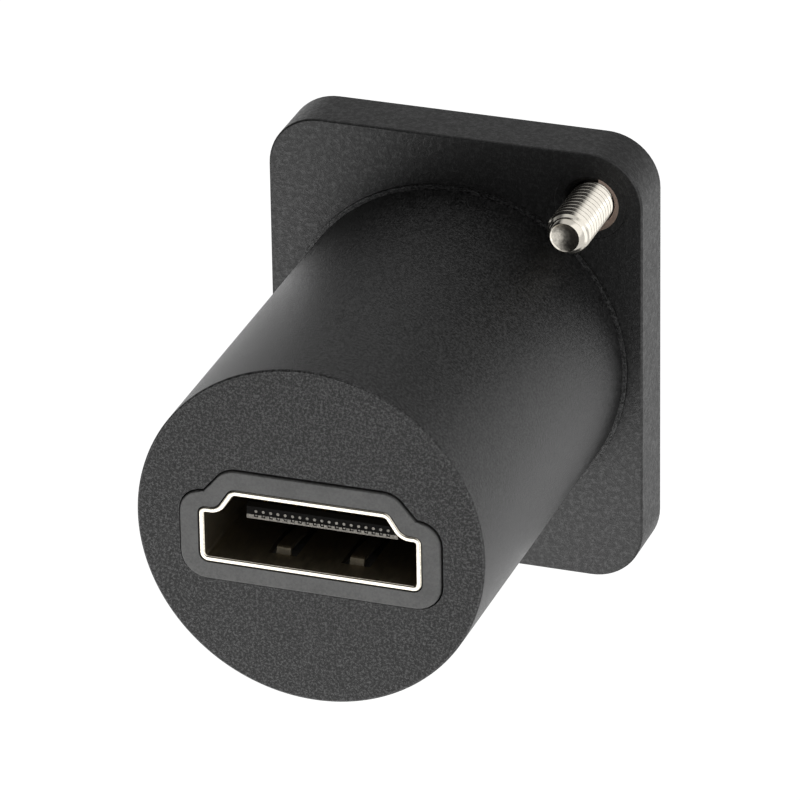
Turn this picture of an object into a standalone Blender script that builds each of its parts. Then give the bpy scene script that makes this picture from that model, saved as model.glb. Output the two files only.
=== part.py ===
"""Panel feed-through adapter: a USB-C socket in the flange front, an HDMI socket in the barrel's end.

Metres, +Z up. The origin is on the barrel axis, in the flange's rear face, which lies against the panel.
+Y points out of the panel, so the USB-C socket faces +Y and the HDMI socket faces -Y, narrow side up.
"""
import math

import bmesh
import bpy
from mathutils import Matrix, Vector

MM = 0.001

# Fits between pieces
FIT = 0.10 * MM  # between moulded pieces that seat on each other
SHEET_FIT = 0.06 * MM  # round a stamped shell
CONTACT_FIT = 0.03 * MM  # round a contact in its groove
SOLDER = 0.05 * MM  # under what is soldered to the board
OVERSHOOT = 1.0 * MM  # how far a cutter runs past what it cuts

# Housing
FLANGE_THICKNESS = 4.15 * MM
FLANGE_CORNER = 3.65 * MM
FLANGE_EDGE = 0.25 * MM
BARREL_LENGTH = 29.0 * MM
BARREL_EDGE = 0.15 * MM
BARREL_WALL = 1.6 * MM
END_WALL = 2.0 * MM
ROOT_STEP_WIDTH = 0.30 * MM
ROOT_STEP_HEIGHT = 0.25 * MM
ROUND_SEGMENTS = 96

# Flange screws, in two opposite corners
SCREW_ANGLE = 51.63  # degrees above the middle plane
SCREW_CLEAR = 3.505 * MM  # from the barrel's side to the screw's axis
SCREW_EDGE = 3.6 * MM  # from the screw's axis to the flange's edges
SCREW_HOLE = 3.9 * MM
HOLE_MOUTH = 5.0 * MM
HOLE_MOUTH_DEPTH = 0.12 * MM
SCREW_DIAMETER = 3.0 * MM
SCREW_REACH = 5.5 * MM
SCREW_HEAD = 5.5 * MM
SCREW_HEAD_RIM = 0.2 * MM
SCREW_SUNK = 0.15 * MM
SCREW_TIP_CHAMFER = 0.45 * MM
SCREW_TIP_RIM = 0.25 * MM
SCREW_CUP_DEPTH = 0.3 * MM
RECESS_SPAN = 2.8 * MM
RECESS_BLADE = 0.6 * MM
RECESS_DEPTH = 1.1 * MM
RECESS_TAPER = 0.6  # its width at the bottom, as a share of its width at the top
SCREW_SEGMENTS = 40

# Front bezel
BEZEL_LEDGE = 0.8 * MM
BEZEL_THICKNESS = 2.2 * MM
BEZEL_EDGE = 0.2 * MM
BEZEL_LEAD_IN = 0.35 * MM
STOP_WIDTH = 2.4 * MM
STOP_HEIGHT = 4.0 * MM

# Adapter carrier: what its nose shows round the HDMI shell, on each side of the shell's outline
NOSE_SIDE = 1.30 * MM
NOSE_BELOW = 1.25 * MM
NOSE_ABOVE_SHOULDER = 1.35 * MM
NOSE_ABOVE = 1.37 * MM
NOSE_BESIDE_NECK = 0.90 * MM
NOSE_BESIDE_TOP = 0.38 * MM
NOSE_BOTTOM_ROUND = 1.8 * MM
NOSE_SHOULDER_ROUND = 1.6 * MM
NOSE_NECK_ROUND = 0.3 * MM
NOSE_TOP_ROUND = 1.5 * MM
NOSE_PROUD = 0.05 * MM
CARRIER_WALL = 2.0 * MM
CARRIER_SIDE = 1.65 * MM  # from the board's groove to the bore
CAVITY_SPARE = 0.19 * MM  # beside the HDMI shell
CAVITY_HEADROOM = 1.5 * MM  # over and under the HDMI shell
CAVITY_CORNER = 0.8 * MM
BOARD_RAIL = 0.7 * MM

# HDMI shell
HDMI_HALF_WIDTH = 7.56 * MM
HDMI_BOTTOM = -2.75 * MM
HDMI_SHOULDER = 1.15 * MM
HDMI_TOP = 2.60 * MM
HDMI_NECK_HALF = 6.30 * MM
HDMI_TOP_HALF = 5.35 * MM
HDMI_BOTTOM_ROUND = 0.6 * MM
HDMI_SHOULDER_ROUND = 0.5 * MM
HDMI_NECK_ROUND = 0.8 * MM
HDMI_TOP_ROUND = 0.6 * MM
HDMI_SHEET = 0.42 * MM
HDMI_SHELL_LENGTH = 11.2 * MM
HDMI_TAB_LENGTH = 1.9 * MM
HDMI_TAB_HEIGHT = 1.8 * MM
FINGER_X = 2.5 * MM
FINGER_WIDTH = 1.15 * MM
FINGER_SLOT = 0.50 * MM
FINGER_START = 2.0 * MM
FINGER_LENGTH = 5.4 * MM
FINGER_SHEET = 0.25 * MM
FINGER_RISE = 0.60 * MM
FINGER_BENDS = ((0.88, 0.0), (0.30, 0.80), (0.10, 1.0), (0.0, 0.15))  # shares of length and rise

# HDMI tongue and contacts
TONGUE_Z = 0.08 * MM
TONGUE_WIDTH = 10.3 * MM
TONGUE_RECESS = 2.4 * MM
TONGUE_NOSE = 0.25 * MM
BLOCK_START = 8.2 * MM
BLOCK_LENGTH = 2.7 * MM
PIT_WIDTH = 0.26 * MM
PIT_HEIGHT = 0.24 * MM
PIT_DEPTH = 0.25 * MM
HDMI_PITCH = 1.0 * MM
HDMI_WIDE_ROW = 10
HDMI_NARROW_ROW = 9
HDMI_CONTACT_WIDTH = 0.30 * MM
HDMI_CONTACT_SHEET = 0.15 * MM
HDMI_CONTACT_PROUD = 0.05 * MM
HDMI_CONTACT_START = 0.45 * MM
TAIL_LENGTH = 1.4 * MM

# Circuit board and what it carries
BOARD_THICKNESS = 0.8 * MM
BOARD_ARM_GAP = 0.25 * MM
CHIP_SIDE = 6.0 * MM
CHIP_HEIGHT = 0.85 * MM
CHIP_EDGE = 0.07 * MM
CHIP_DIMPLE = 0.5 * MM
CHIP_DIMPLE_DEPTH = 0.085 * MM
CHIP_DIMPLE_MARGIN = 0.8 * MM
CHIP_PLACE = 0.50  # along the board, from its HDMI end to its USB-C bay
REGULATOR_SIZE = (2.9 * MM, 1.6 * MM, 1.1 * MM)
CRYSTAL_SIZE = (2.5 * MM, 3.2 * MM, 0.75 * MM)
CRYSTAL_EDGE = 0.15 * MM
CHIP_GAP = 0.5 * MM  # from the chip to its neighbours
CAPACITOR_SIZE = (1.6 * MM, 0.8 * MM, 0.8 * MM)
CAPACITOR_END = 0.35 * MM
CAPACITOR_LIP = 0.04 * MM

# USB-C receptacle
USB_WIDTH = 8.94 * MM
USB_HEIGHT = 3.16 * MM
USB_SHEET = 0.30 * MM
USB_END_ROUND = 0.98  # of a half circle
USB_SHELL_LENGTH = 7.35 * MM
USB_SUNK = 0.10 * MM
USB_TAB_LENGTH = 1.3 * MM
USB_TAB_REACH = 1.5 * MM
USB_TONGUE_WIDTH = 6.69 * MM
USB_TONGUE_THICKNESS = 0.70 * MM
USB_TONGUE_RECESS = 0.80 * MM
USB_TONGUE_LENGTH = 4.45 * MM
USB_BLOCK_LENGTH = 1.9 * MM
USB_TONGUE_NOSE = 0.12 * MM
USB_PITCH = 0.5 * MM
USB_ROW = 12
USB_CONTACT_WIDTH = 0.25 * MM
USB_CONTACT_SHEET = 0.10 * MM
USB_CONTACT_PROUD = 0.02 * MM
USB_CONTACT_START = 0.45 * MM
MID_PLATE_SHEET = 0.14 * MM
MID_PLATE_START = 0.90 * MM

# Worked out from the sizes above: the bore goes round the carrier, and the flange round its screws
CAVITY_WIDTH = 2 * (HDMI_HALF_WIDTH + CAVITY_SPARE)
BORE_RADIUS = CAVITY_WIDTH / 2 + BOARD_RAIL + CARRIER_SIDE + FIT
BARREL_RADIUS = BORE_RADIUS + BARREL_WALL
BEZEL_RADIUS = BORE_RADIUS + BEZEL_LEDGE
SCREW_DISTANCE = BARREL_RADIUS + SCREW_CLEAR
SCREW_X = SCREW_DISTANCE * math.cos(math.radians(SCREW_ANGLE))
SCREW_Z = SCREW_DISTANCE * math.sin(math.radians(SCREW_ANGLE))
FLANGE_WIDTH = 2 * (SCREW_X + SCREW_EDGE)
FLANGE_HEIGHT = 2 * (SCREW_Z + SCREW_EDGE)
TONGUE_THICKNESS = BOARD_THICKNESS + 2 * (SOLDER + HDMI_CONTACT_SHEET - HDMI_CONTACT_PROUD)
FRONT_Y = FLANGE_THICKNESS
END_Y = -BARREL_LENGTH
LEDGE_Y = FRONT_Y - BEZEL_THICKNESS
WALL_Y = END_Y + END_WALL
NOSE_Y = END_Y - NOSE_PROUD
CAVITY_Y = WALL_Y + FIT + CARRIER_WALL
BLOCK_BACK_Y = NOSE_Y + BLOCK_START + BLOCK_LENGTH
BOARD_TOP = TONGUE_Z + BOARD_THICKNESS / 2
BOARD_HALF_WIDTH = CAVITY_WIDTH / 2 + BOARD_RAIL - FIT
BOARD_BACK_Y = BLOCK_BACK_Y + FIT
USB_FRONT_Y = FRONT_Y - USB_SUNK
USB_BACK_Y = USB_FRONT_Y - USB_SHELL_LENGTH
USB_ROOT_Y = USB_FRONT_Y - USB_TONGUE_RECESS - USB_TONGUE_LENGTH
USB_BLOCK_BACK_Y = USB_ROOT_Y - USB_BLOCK_LENGTH
BOARD_CUT_Y = min(USB_BACK_Y, USB_BLOCK_BACK_Y) - FIT
BOARD_FRONT_Y = USB_FRONT_Y - USB_SHELL_LENGTH / 2
PAD_LEVEL = BOARD_THICKNESS / 2 + SOLDER

CUTTERS = "cutters"
PART = "usb_c_to_hdmi_adapter"


def clear_scene():
    for obj in list(bpy.data.objects):
        bpy.data.objects.remove(obj, do_unlink=True)
    for name in (PART, CUTTERS):
        collection = bpy.data.collections.new(name)
        bpy.context.scene.collection.children.link(collection)


def material(name, colour, metallic, roughness):
    made = bpy.data.materials.new(name)
    made.use_nodes = True
    shader = made.node_tree.nodes["Principled BSDF"]
    shader.inputs["Base Color"].default_value = (*colour, 1.0)
    shader.inputs["Metallic"].default_value = metallic
    shader.inputs["Roughness"].default_value = roughness
    made.diffuse_color = (*colour, 1.0)
    return made


def link(obj, collection):
    bpy.data.collections[collection].objects.link(obj)
    return obj


def baked(obj):
    """The object with its modifiers made part of its mesh, and its faces shaded smooth up to sharp edges."""
    bpy.context.view_layer.update()
    graph = bpy.context.evaluated_depsgraph_get()
    mesh = bpy.data.meshes.new_from_object(obj.evaluated_get(graph))
    obj.modifiers.clear()
    obj.data = mesh
    mesh.shade_smooth()
    mesh.set_sharp_from_angle(angle=math.radians(32))
    return obj


def finish(obj, look):
    """A finished piece: baked, named as its mesh is, and given its material."""
    baked(obj)
    obj.data.name = obj.name
    obj.data.materials.clear()
    obj.data.materials.append(look)
    return obj


def helper(obj):
    """Moves an object among the cutters, where it shapes others and is no piece itself."""
    for collection in list(obj.users_collection):
        collection.objects.unlink(obj)
    obj.hide_render = True
    obj.display_type = "WIRE"
    return link(obj, CUTTERS)


def boolean(obj, other, operation):
    modifier = obj.modifiers.new(f"{operation.lower()} {other.name}", "BOOLEAN")
    modifier.operation = operation
    modifier.solver = "EXACT"
    modifier.object = helper(other)
    return obj


def cut(obj, *cutters):
    for cutter in cutters:
        boolean(obj, cutter, "DIFFERENCE")
    return obj


def join(obj, *others):
    for other in others:
        boolean(obj, other, "UNION")
    return obj


def bevel(obj, width, segments=2, angle=40):
    modifier = obj.modifiers.new("rounded edges", "BEVEL")
    modifier.width = width
    modifier.segments = segments
    modifier.limit_method = "ANGLE"
    modifier.angle_limit = math.radians(angle)
    return obj


def rounded(corners, steps=5):
    """Points of a closed outline, given as (x, z, rounding) corners, with each corner drawn as an arc."""
    points = []
    for i, (x, z, radius) in enumerate(corners):
        corner = Vector((x, z))
        before = Vector(corners[i - 1][:2]) - corner
        after = Vector(corners[(i + 1) % len(corners)][:2]) - corner
        half = before.angle(after) / 2
        reach = min(radius / math.tan(half), 0.49 * before.length, 0.49 * after.length)
        radius = reach * math.tan(half)
        middle = corner + (before.normalized() + after.normalized()).normalized() * (radius / math.sin(half))
        start = corner + before.normalized() * reach - middle
        sweep = (math.pi - 2 * half) * (1 if before.cross(after) < 0 else -1)
        for k in range(steps + 1):
            points.append(middle + Matrix.Rotation(sweep * k / steps, 2) @ start)
    return points


def grown(corners, by):
    """The corners of an outline, listed anticlockwise, moved outward all round by one distance."""
    moved = []
    for i, (x, z, radius) in enumerate(corners):
        corner = Vector((x, z))
        before = (corner - Vector(corners[i - 1][:2])).normalized()
        after = (Vector(corners[(i + 1) % len(corners)][:2]) - corner).normalized()
        out_before = Vector((before.y, -before.x))
        out_after = Vector((after.y, -after.x))
        middle = (out_before + out_after).normalized()
        place = corner + middle * (by / middle.dot(out_after))
        turn = 1 if before.cross(after) > 0 else -1
        moved.append((place.x, place.y, max(radius + turn * by, CONTACT_FIT)))
    return moved


def box_corners(width, low, high, radius):
    return [
        (-width / 2, low, radius),
        (width / 2, low, radius),
        (width / 2, high, radius),
        (-width / 2, high, radius),
    ]


def plug_corners(half_width, bottom, shoulder, top, neck_half, top_half, rounds):
    """The six-sided outline of an HDMI plug with stepped shoulders, anticlockwise from the bottom left."""
    bottom_round, shoulder_round, neck_round, top_round = rounds
    right = [
        (half_width, bottom, bottom_round),
        (half_width, shoulder, shoulder_round),
        (neck_half, shoulder, neck_round),
        (top_half, top, top_round),
    ]
    left = [(-x, z, radius) for x, z, radius in reversed(right)]
    return left[-1:] + right + left[:-1]


def prism(name, outlines, y_from, y_to, steps=5):
    """A flat outline with its holes, drawn in XZ and given its length along Y."""
    curve = bpy.data.curves.new(name, "CURVE")
    curve.dimensions = "2D"
    curve.fill_mode = "BOTH"
    curve.extrude = abs(y_to - y_from) / 2
    for corners in outlines:
        points = rounded(corners, steps)
        spline = curve.splines.new("POLY")
        spline.points.add(len(points) - 1)
        for point, place in zip(spline.points, points):
            point.co = (place.x, place.y, 0, 1)
        spline.use_cyclic_u = True
    drawn = link(bpy.data.objects.new(name + "_curve", curve), CUTTERS)
    bpy.context.view_layer.update()
    mesh = bpy.data.meshes.new_from_object(drawn.evaluated_get(bpy.context.evaluated_depsgraph_get()))
    bpy.data.objects.remove(drawn, do_unlink=True)
    bm = bmesh.new()
    bm.from_mesh(mesh)
    bmesh.ops.remove_doubles(bm, verts=bm.verts, dist=0.001 * MM)
    bmesh.ops.dissolve_limit(bm, angle_limit=math.radians(0.1), verts=bm.verts, edges=bm.edges)
    turn = Matrix.Rotation(math.radians(90), 4, "X")
    bmesh.ops.transform(bm, matrix=Matrix.Translation((0, (y_from + y_to) / 2, 0)) @ turn, verts=bm.verts)
    bmesh.ops.recalc_face_normals(bm, faces=bm.faces)
    bm.to_mesh(mesh)
    bm.free()
    return link(bpy.data.objects.new(name, mesh), PART)


def turned(name, profile, x=0.0, z=0.0, segments=ROUND_SEGMENTS):
    """A turned shape about an axis along Y. Its (radius, y) profile runs down the outer side, from the front."""
    mesh = bpy.data.meshes.new(name)
    edges = [(i, i + 1) for i in range(len(profile) - 1)]
    mesh.from_pydata([(radius, 0, y) for radius, y in profile], edges, [])
    obj = link(bpy.data.objects.new(name, mesh), PART)
    screw = obj.modifiers.new("turned", "SCREW")
    screw.axis = "Z"
    screw.angle = math.tau
    screw.steps = segments
    screw.render_steps = segments
    screw.use_merge_vertices = True
    screw.merge_threshold = 0.001 * MM
    baked(obj)
    obj.data.transform(Matrix.Translation((x, 0, z)) @ Matrix.Rotation(math.radians(-90), 4, "X"))
    return obj


def block(name, low, high, taper=1.0):
    """A box between two corners. With a taper, its face towards -Y is narrower in X and Z."""
    low, high = Vector(low), Vector(high)
    bm = bmesh.new()
    bmesh.ops.create_cube(bm, size=1.0)
    for vert in bm.verts:
        if vert.co.y < 0:
            vert.co.x *= taper
            vert.co.z *= taper
        vert.co = (low + high) / 2 + Vector(a * b for a, b in zip(vert.co, high - low))
    mesh = bpy.data.meshes.new(name)
    bm.to_mesh(mesh)
    bm.free()
    return link(bpy.data.objects.new(name, mesh), PART)


def comb(name, places, width, y_range, z_range):
    """One cutter of like boxes side by side along X."""
    bm = bmesh.new()
    for x in places:
        centre = Vector((x, sum(y_range) / 2, sum(z_range) / 2))
        size = (width, y_range[1] - y_range[0], z_range[1] - z_range[0])
        matrix = Matrix.Translation(centre) @ Matrix.Diagonal((*size, 1))
        bmesh.ops.create_cube(bm, size=1.0, matrix=matrix)
    mesh = bpy.data.meshes.new(name)
    bm.to_mesh(mesh)
    bm.free()
    return link(bpy.data.objects.new(name, mesh), PART)


def ribbon(name, path, x, width, sheet):
    """A bent strip: the (y, z) line of its side view, drawn across its width and given its thickness."""
    bm = bmesh.new()
    line = [bm.verts.new((x - width / 2, y, z)) for y, z in path]
    edges = [bm.edges.new(pair) for pair in zip(line, line[1:])]
    swept = bmesh.ops.extrude_edge_only(bm, edges=edges)["geom"]
    moved = [item for item in swept if isinstance(item, bmesh.types.BMVert)]
    bmesh.ops.translate(bm, vec=(width, 0, 0), verts=moved)
    mesh = bpy.data.meshes.new(name)
    bm.to_mesh(mesh)
    bm.free()
    obj = link(bpy.data.objects.new(name, mesh), PART)
    solidify = obj.modifiers.new("sheet", "SOLIDIFY")
    solidify.thickness = sheet
    solidify.offset = 0
    solidify.use_even_offset = True
    baked(obj)
    bm = bmesh.new()
    bm.from_mesh(obj.data)
    bmesh.ops.recalc_face_normals(bm, faces=bm.faces)
    bm.to_mesh(obj.data)
    bm.free()
    return obj


def centred(count, pitch):
    return [(i - (count - 1) / 2) * pitch for i in range(count)]


def nose_outline():
    rounds = (NOSE_BOTTOM_ROUND, NOSE_SHOULDER_ROUND, NOSE_NECK_ROUND, NOSE_TOP_ROUND)
    return plug_corners(
        HDMI_HALF_WIDTH + NOSE_SIDE,
        HDMI_BOTTOM - NOSE_BELOW,
        HDMI_SHOULDER + NOSE_ABOVE_SHOULDER,
        HDMI_TOP + NOSE_ABOVE,
        HDMI_NECK_HALF + NOSE_BESIDE_NECK,
        HDMI_TOP_HALF + NOSE_BESIDE_TOP,
        rounds,
    )


def hdmi_outline():
    rounds = (HDMI_BOTTOM_ROUND, HDMI_SHOULDER_ROUND, HDMI_NECK_ROUND, HDMI_TOP_ROUND)
    return plug_corners(
        HDMI_HALF_WIDTH, HDMI_BOTTOM, HDMI_SHOULDER, HDMI_TOP, HDMI_NECK_HALF, HDMI_TOP_HALF, rounds
    )


def usb_outline():
    """The shell's outer outline, a box whose ends are half circles."""
    low = TONGUE_Z - USB_HEIGHT / 2
    return box_corners(USB_WIDTH, low, low + USB_HEIGHT, USB_HEIGHT / 2 * USB_END_ROUND)


def housing(look):
    """Flange and barrel in one moulding, bored from the front, with the nose's opening in its end wall."""
    obj = prism(
        "housing",
        [box_corners(FLANGE_WIDTH, -FLANGE_HEIGHT / 2, FLANGE_HEIGHT / 2, FLANGE_CORNER)],
        0,
        FLANGE_THICKNESS,
        steps=8,
    )
    bevel(obj, FLANGE_EDGE)
    step = BARREL_RADIUS + ROOT_STEP_WIDTH
    barrel = turned(
        "barrel",
        [
            (0, FLANGE_THICKNESS / 2),
            (step, FLANGE_THICKNESS / 2),
            (step, -ROOT_STEP_HEIGHT),
            (BARREL_RADIUS, -ROOT_STEP_HEIGHT),
            (BARREL_RADIUS, END_Y + BARREL_EDGE),
            (BARREL_RADIUS - 0.3 * BARREL_EDGE, END_Y + 0.3 * BARREL_EDGE),
            (BARREL_RADIUS - BARREL_EDGE, END_Y),
            (0, END_Y),
        ],
    )
    bezel_seat = BEZEL_RADIUS + FIT
    bore = turned(
        "bore",
        [
            (0, FRONT_Y + OVERSHOOT),
            (bezel_seat, FRONT_Y + OVERSHOOT),
            (bezel_seat, LEDGE_Y),
            (BORE_RADIUS, LEDGE_Y),
            (BORE_RADIUS, WALL_Y),
            (0, WALL_Y),
        ],
    )
    mouth = prism("mouth", [grown(nose_outline(), FIT)], END_Y - OVERSHOOT, WALL_Y + OVERSHOOT)
    join(obj, barrel)
    cut(obj, bore, mouth)
    for side in (1, -1):
        cut(obj, screw_hole(f"screw_hole_{side}", side * SCREW_X, side * SCREW_Z))
    return finish(obj, look)


def screw_hole(name, x, z):
    """Countersunk at the front for the head, with a shallow turned mouth at the back."""
    head = SCREW_HEAD / 2 + FIT
    hole = SCREW_HOLE / 2
    cone_top = FRONT_Y - SCREW_SUNK - SCREW_HEAD_RIM
    return turned(
        name,
        [
            (0, FRONT_Y + OVERSHOOT),
            (head, FRONT_Y + OVERSHOOT),
            (head, cone_top),
            (hole, cone_top - (head - hole)),
            (hole, HOLE_MOUTH_DEPTH),
            (HOLE_MOUTH / 2, 0),
            (HOLE_MOUTH / 2, -OVERSHOOT),
            (0, -OVERSHOOT),
        ],
        x,
        z,
        SCREW_SEGMENTS,
    )


def flange_screw(name, x, z, look):
    """M3 countersunk machine screw. Its fine thread is left off, and its end is cupped."""
    head = SCREW_HEAD / 2
    shank = SCREW_DIAMETER / 2
    top = FRONT_Y - SCREW_SUNK
    cone = top - SCREW_HEAD_RIM
    rim = shank - SCREW_TIP_CHAMFER
    obj = turned(
        name,
        [
            (0, top),
            (head, top),
            (head, cone),
            (shank, cone - (head - shank)),
            (shank, -SCREW_REACH + SCREW_TIP_CHAMFER),
            (rim, -SCREW_REACH),
            (rim - SCREW_TIP_RIM, -SCREW_REACH),
            (0, -SCREW_REACH + SCREW_CUP_DEPTH),
        ],
        x,
        z,
        SCREW_SEGMENTS,
    )
    half = RECESS_SPAN / 2
    blade = RECESS_BLADE / 2
    for k, (wide, high) in enumerate(((half, blade), (blade, half))):
        low = (x - wide, top - RECESS_DEPTH, z - high)
        high_corner = (x + wide, top + OVERSHOOT, z + high)
        cut(obj, block(f"{name}_recess_{k}", low, high_corner, taper=RECESS_TAPER))
    return finish(obj, look)


def front_bezel(look):
    """Disc that closes the bore, with the USB-C slot and two stops that hold the board's arms."""
    obj = turned(
        "front_bezel",
        [
            (0, FRONT_Y),
            (BEZEL_RADIUS - BEZEL_EDGE, FRONT_Y),
            (BEZEL_RADIUS, FRONT_Y - BEZEL_EDGE),
            (BEZEL_RADIUS, LEDGE_Y + FIT),
            (0, LEDGE_Y + FIT),
        ],
    )
    arm_inner = USB_WIDTH / 2 + BOARD_ARM_GAP
    arm_middle = (arm_inner + CAVITY_WIDTH / 2) / 2
    half = min(STOP_WIDTH, CAVITY_WIDTH / 2 - arm_inner - 2 * FIT) / 2
    for side in (1, -1):
        stop = block(
            f"stop_{side}",
            (side * arm_middle - half, BOARD_FRONT_Y + FIT, TONGUE_Z - STOP_HEIGHT / 2),
            (side * arm_middle + half, LEDGE_Y + BEZEL_THICKNESS / 2, TONGUE_Z + STOP_HEIGHT / 2),
        )
        join(obj, stop)
    slot = prism("usb_slot", [grown(usb_outline(), SHEET_FIT)], LEDGE_Y - OVERSHOOT, FRONT_Y + OVERSHOOT, 8)
    cut(obj, slot, lead_in())
    return finish(obj, look)


def lead_in():
    """Cutter that breaks the slot's front edge: the slot's outline with its front end spread outward."""
    obj = prism("lead_in", [usb_outline()], FRONT_Y - BEZEL_LEAD_IN, FRONT_Y + BEZEL_LEAD_IN, 8)
    spread_x = (USB_WIDTH / 2 + 2 * BEZEL_LEAD_IN) / (USB_WIDTH / 2)
    spread_z = (USB_HEIGHT / 2 + 2 * BEZEL_LEAD_IN) / (USB_HEIGHT / 2)
    for vert in obj.data.vertices:
        if vert.co.y > FRONT_Y:
            vert.co.x *= spread_x
            vert.co.z = TONGUE_Z + (vert.co.z - TONGUE_Z) * spread_z
    return obj


def adapter_carrier(look):
    """Round moulding that fills the bore: its nose shows round the HDMI shell, and rails hold the board."""
    obj = turned(
        "adapter_carrier",
        [
            (0, LEDGE_Y - FIT),
            (BORE_RADIUS - FIT, LEDGE_Y - FIT),
            (BORE_RADIUS - FIT, WALL_Y + FIT),
            (0, WALL_Y + FIT),
        ],
    )
    nose = prism("nose", [nose_outline()], NOSE_Y, CAVITY_Y - CARRIER_WALL / 2)
    passage = prism("passage", [grown(hdmi_outline(), SHEET_FIT)], NOSE_Y - OVERSHOOT, CAVITY_Y + OVERSHOOT)
    floor, roof = HDMI_BOTTOM - CAVITY_HEADROOM, HDMI_TOP + CAVITY_HEADROOM
    corners = box_corners(CAVITY_WIDTH, floor, roof, CAVITY_CORNER)
    cavity = prism("cavity", [corners], CAVITY_Y, LEDGE_Y + OVERSHOOT)
    groove_half = BOARD_THICKNESS / 2 + FIT
    reach = CAVITY_WIDTH / 2 + BOARD_RAIL
    rails = block(
        "rails",
        (-reach, CAVITY_Y + FIT, TONGUE_Z - groove_half),
        (reach, LEDGE_Y + OVERSHOOT, TONGUE_Z + groove_half),
    )
    join(obj, nose)
    cut(obj, passage, cavity, rails)
    return finish(obj, look)


def hdmi_shell(look):
    """Drawn sheet tube with two spring fingers in each wide wall and a solder tab on each side."""
    outer = hdmi_outline()
    back = NOSE_Y + HDMI_SHELL_LENGTH
    obj = prism("hdmi_shell", [outer, grown(outer, -HDMI_SHEET)], NOSE_Y, back)
    start = NOSE_Y + FINGER_START
    root = start + FINGER_LENGTH
    window = FINGER_WIDTH / 2 + FINGER_SLOT
    for level, inward in ((HDMI_BOTTOM, 1), (HDMI_TOP, -1)):
        side = "floor" if inward > 0 else "roof"
        near = level - inward * HDMI_SHEET
        far = level + inward * 2 * HDMI_SHEET
        windows = comb(
            f"finger_windows_{side}",
            [-FINGER_X, FINGER_X],
            2 * window,
            (start - FINGER_SLOT / 2, root),
            (min(near, far), max(near, far)),
        )
        cut(obj, windows)
        middle = level + inward * HDMI_SHEET / 2
        path = [(root + HDMI_SHEET, middle)]
        for along, rise in FINGER_BENDS:
            path.append((start + along * FINGER_LENGTH, middle + inward * rise * FINGER_RISE))
        for x in (-FINGER_X, FINGER_X):
            name = f"finger_{side}_{'right' if x > 0 else 'left'}"
            join(obj, ribbon(name, path, x, FINGER_WIDTH, FINGER_SHEET))
    for side in (1, -1):
        inside = side * (HDMI_HALF_WIDTH - HDMI_SHEET)
        outside = side * HDMI_HALF_WIDTH
        tab = block(
            f"hdmi_tab_{side}",
            (min(inside, outside), back - HDMI_SHEET, TONGUE_Z - HDMI_TAB_HEIGHT / 2),
            (max(inside, outside), back + HDMI_TAB_LENGTH, TONGUE_Z + HDMI_TAB_HEIGHT / 2),
        )
        join(obj, tab)
    return finish(obj, look)


def hdmi_level():
    """Height of a contact's middle above the tongue's middle plane: its tail lies on the board."""
    return PAD_LEVEL + HDMI_CONTACT_SHEET / 2


def hdmi_insulator(look):
    """Block that closes the shell's back, with the tongue, its contact grooves and the pits in its nose."""
    front = NOSE_Y + TONGUE_RECESS
    block_front = NOSE_Y + BLOCK_START
    obj = prism("hdmi_insulator", [grown(hdmi_outline(), -HDMI_SHEET - SHEET_FIT)], block_front, BLOCK_BACK_Y)
    half = TONGUE_THICKNESS / 2
    tongue = prism(
        "tongue",
        [box_corners(TONGUE_WIDTH, TONGUE_Z - half, TONGUE_Z + half, TONGUE_NOSE / 2)],
        front,
        block_front + BLOCK_LENGTH / 2,
        steps=1,
    )
    for vert in tongue.data.vertices:
        if vert.co.y < front + TONGUE_NOSE:
            vert.co.z = TONGUE_Z + (vert.co.z - TONGUE_Z) * (half - TONGUE_NOSE) / half
    wedge_tongue(tongue, front + TONGUE_NOSE, half)
    join(obj, tongue)
    groove = HDMI_CONTACT_WIDTH + 2 * CONTACT_FIT
    inner = hdmi_level() - HDMI_CONTACT_SHEET / 2 - CONTACT_FIT
    outer = hdmi_level() + HDMI_CONTACT_SHEET / 2 + CONTACT_FIT
    on_tongue = (front + HDMI_CONTACT_START - CONTACT_FIT, block_front)
    in_block = (block_front - CONTACT_FIT, BLOCK_BACK_Y + OVERSHOOT)
    for count, side in ((HDMI_NARROW_ROW, 1), (HDMI_WIDE_ROW, -1)):
        places = centred(count, HDMI_PITCH)
        for kind, y_range, far in (("groove", on_tongue, half + OVERSHOOT), ("slot", in_block, outer)):
            low, high = sorted((TONGUE_Z + side * inner, TONGUE_Z + side * far))
            cut(obj, comb(f"{kind}s_{count}", places, groove, y_range, (low, high)))
    pits = comb(
        "nose_pits",
        centred(HDMI_WIDE_ROW + HDMI_NARROW_ROW, HDMI_PITCH / 2),
        PIT_WIDTH,
        (front - OVERSHOOT, front + PIT_DEPTH),
        (TONGUE_Z - PIT_HEIGHT / 2, TONGUE_Z + PIT_HEIGHT / 2),
    )
    cut(obj, pits)
    return finish(obj, look)


def wedge_tongue(tongue, y, half):
    """Loops the tongue at the back of its chamfered nose, so that only the nose narrows."""
    bm = bmesh.new()
    bm.from_mesh(tongue.data)
    whole = list(bm.verts) + list(bm.edges) + list(bm.faces)
    ring = bmesh.ops.bisect_plane(bm, geom=whole, plane_co=(0, y, 0), plane_no=(0, 1, 0))["geom_cut"]
    for vert in (item for item in ring if isinstance(item, bmesh.types.BMVert)):
        offset = vert.co.z - TONGUE_Z
        if abs(offset) > half - TONGUE_NOSE - CONTACT_FIT:
            vert.co.z = TONGUE_Z + math.copysign(half, offset)
    bm.to_mesh(tongue.data)
    bm.free()


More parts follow.
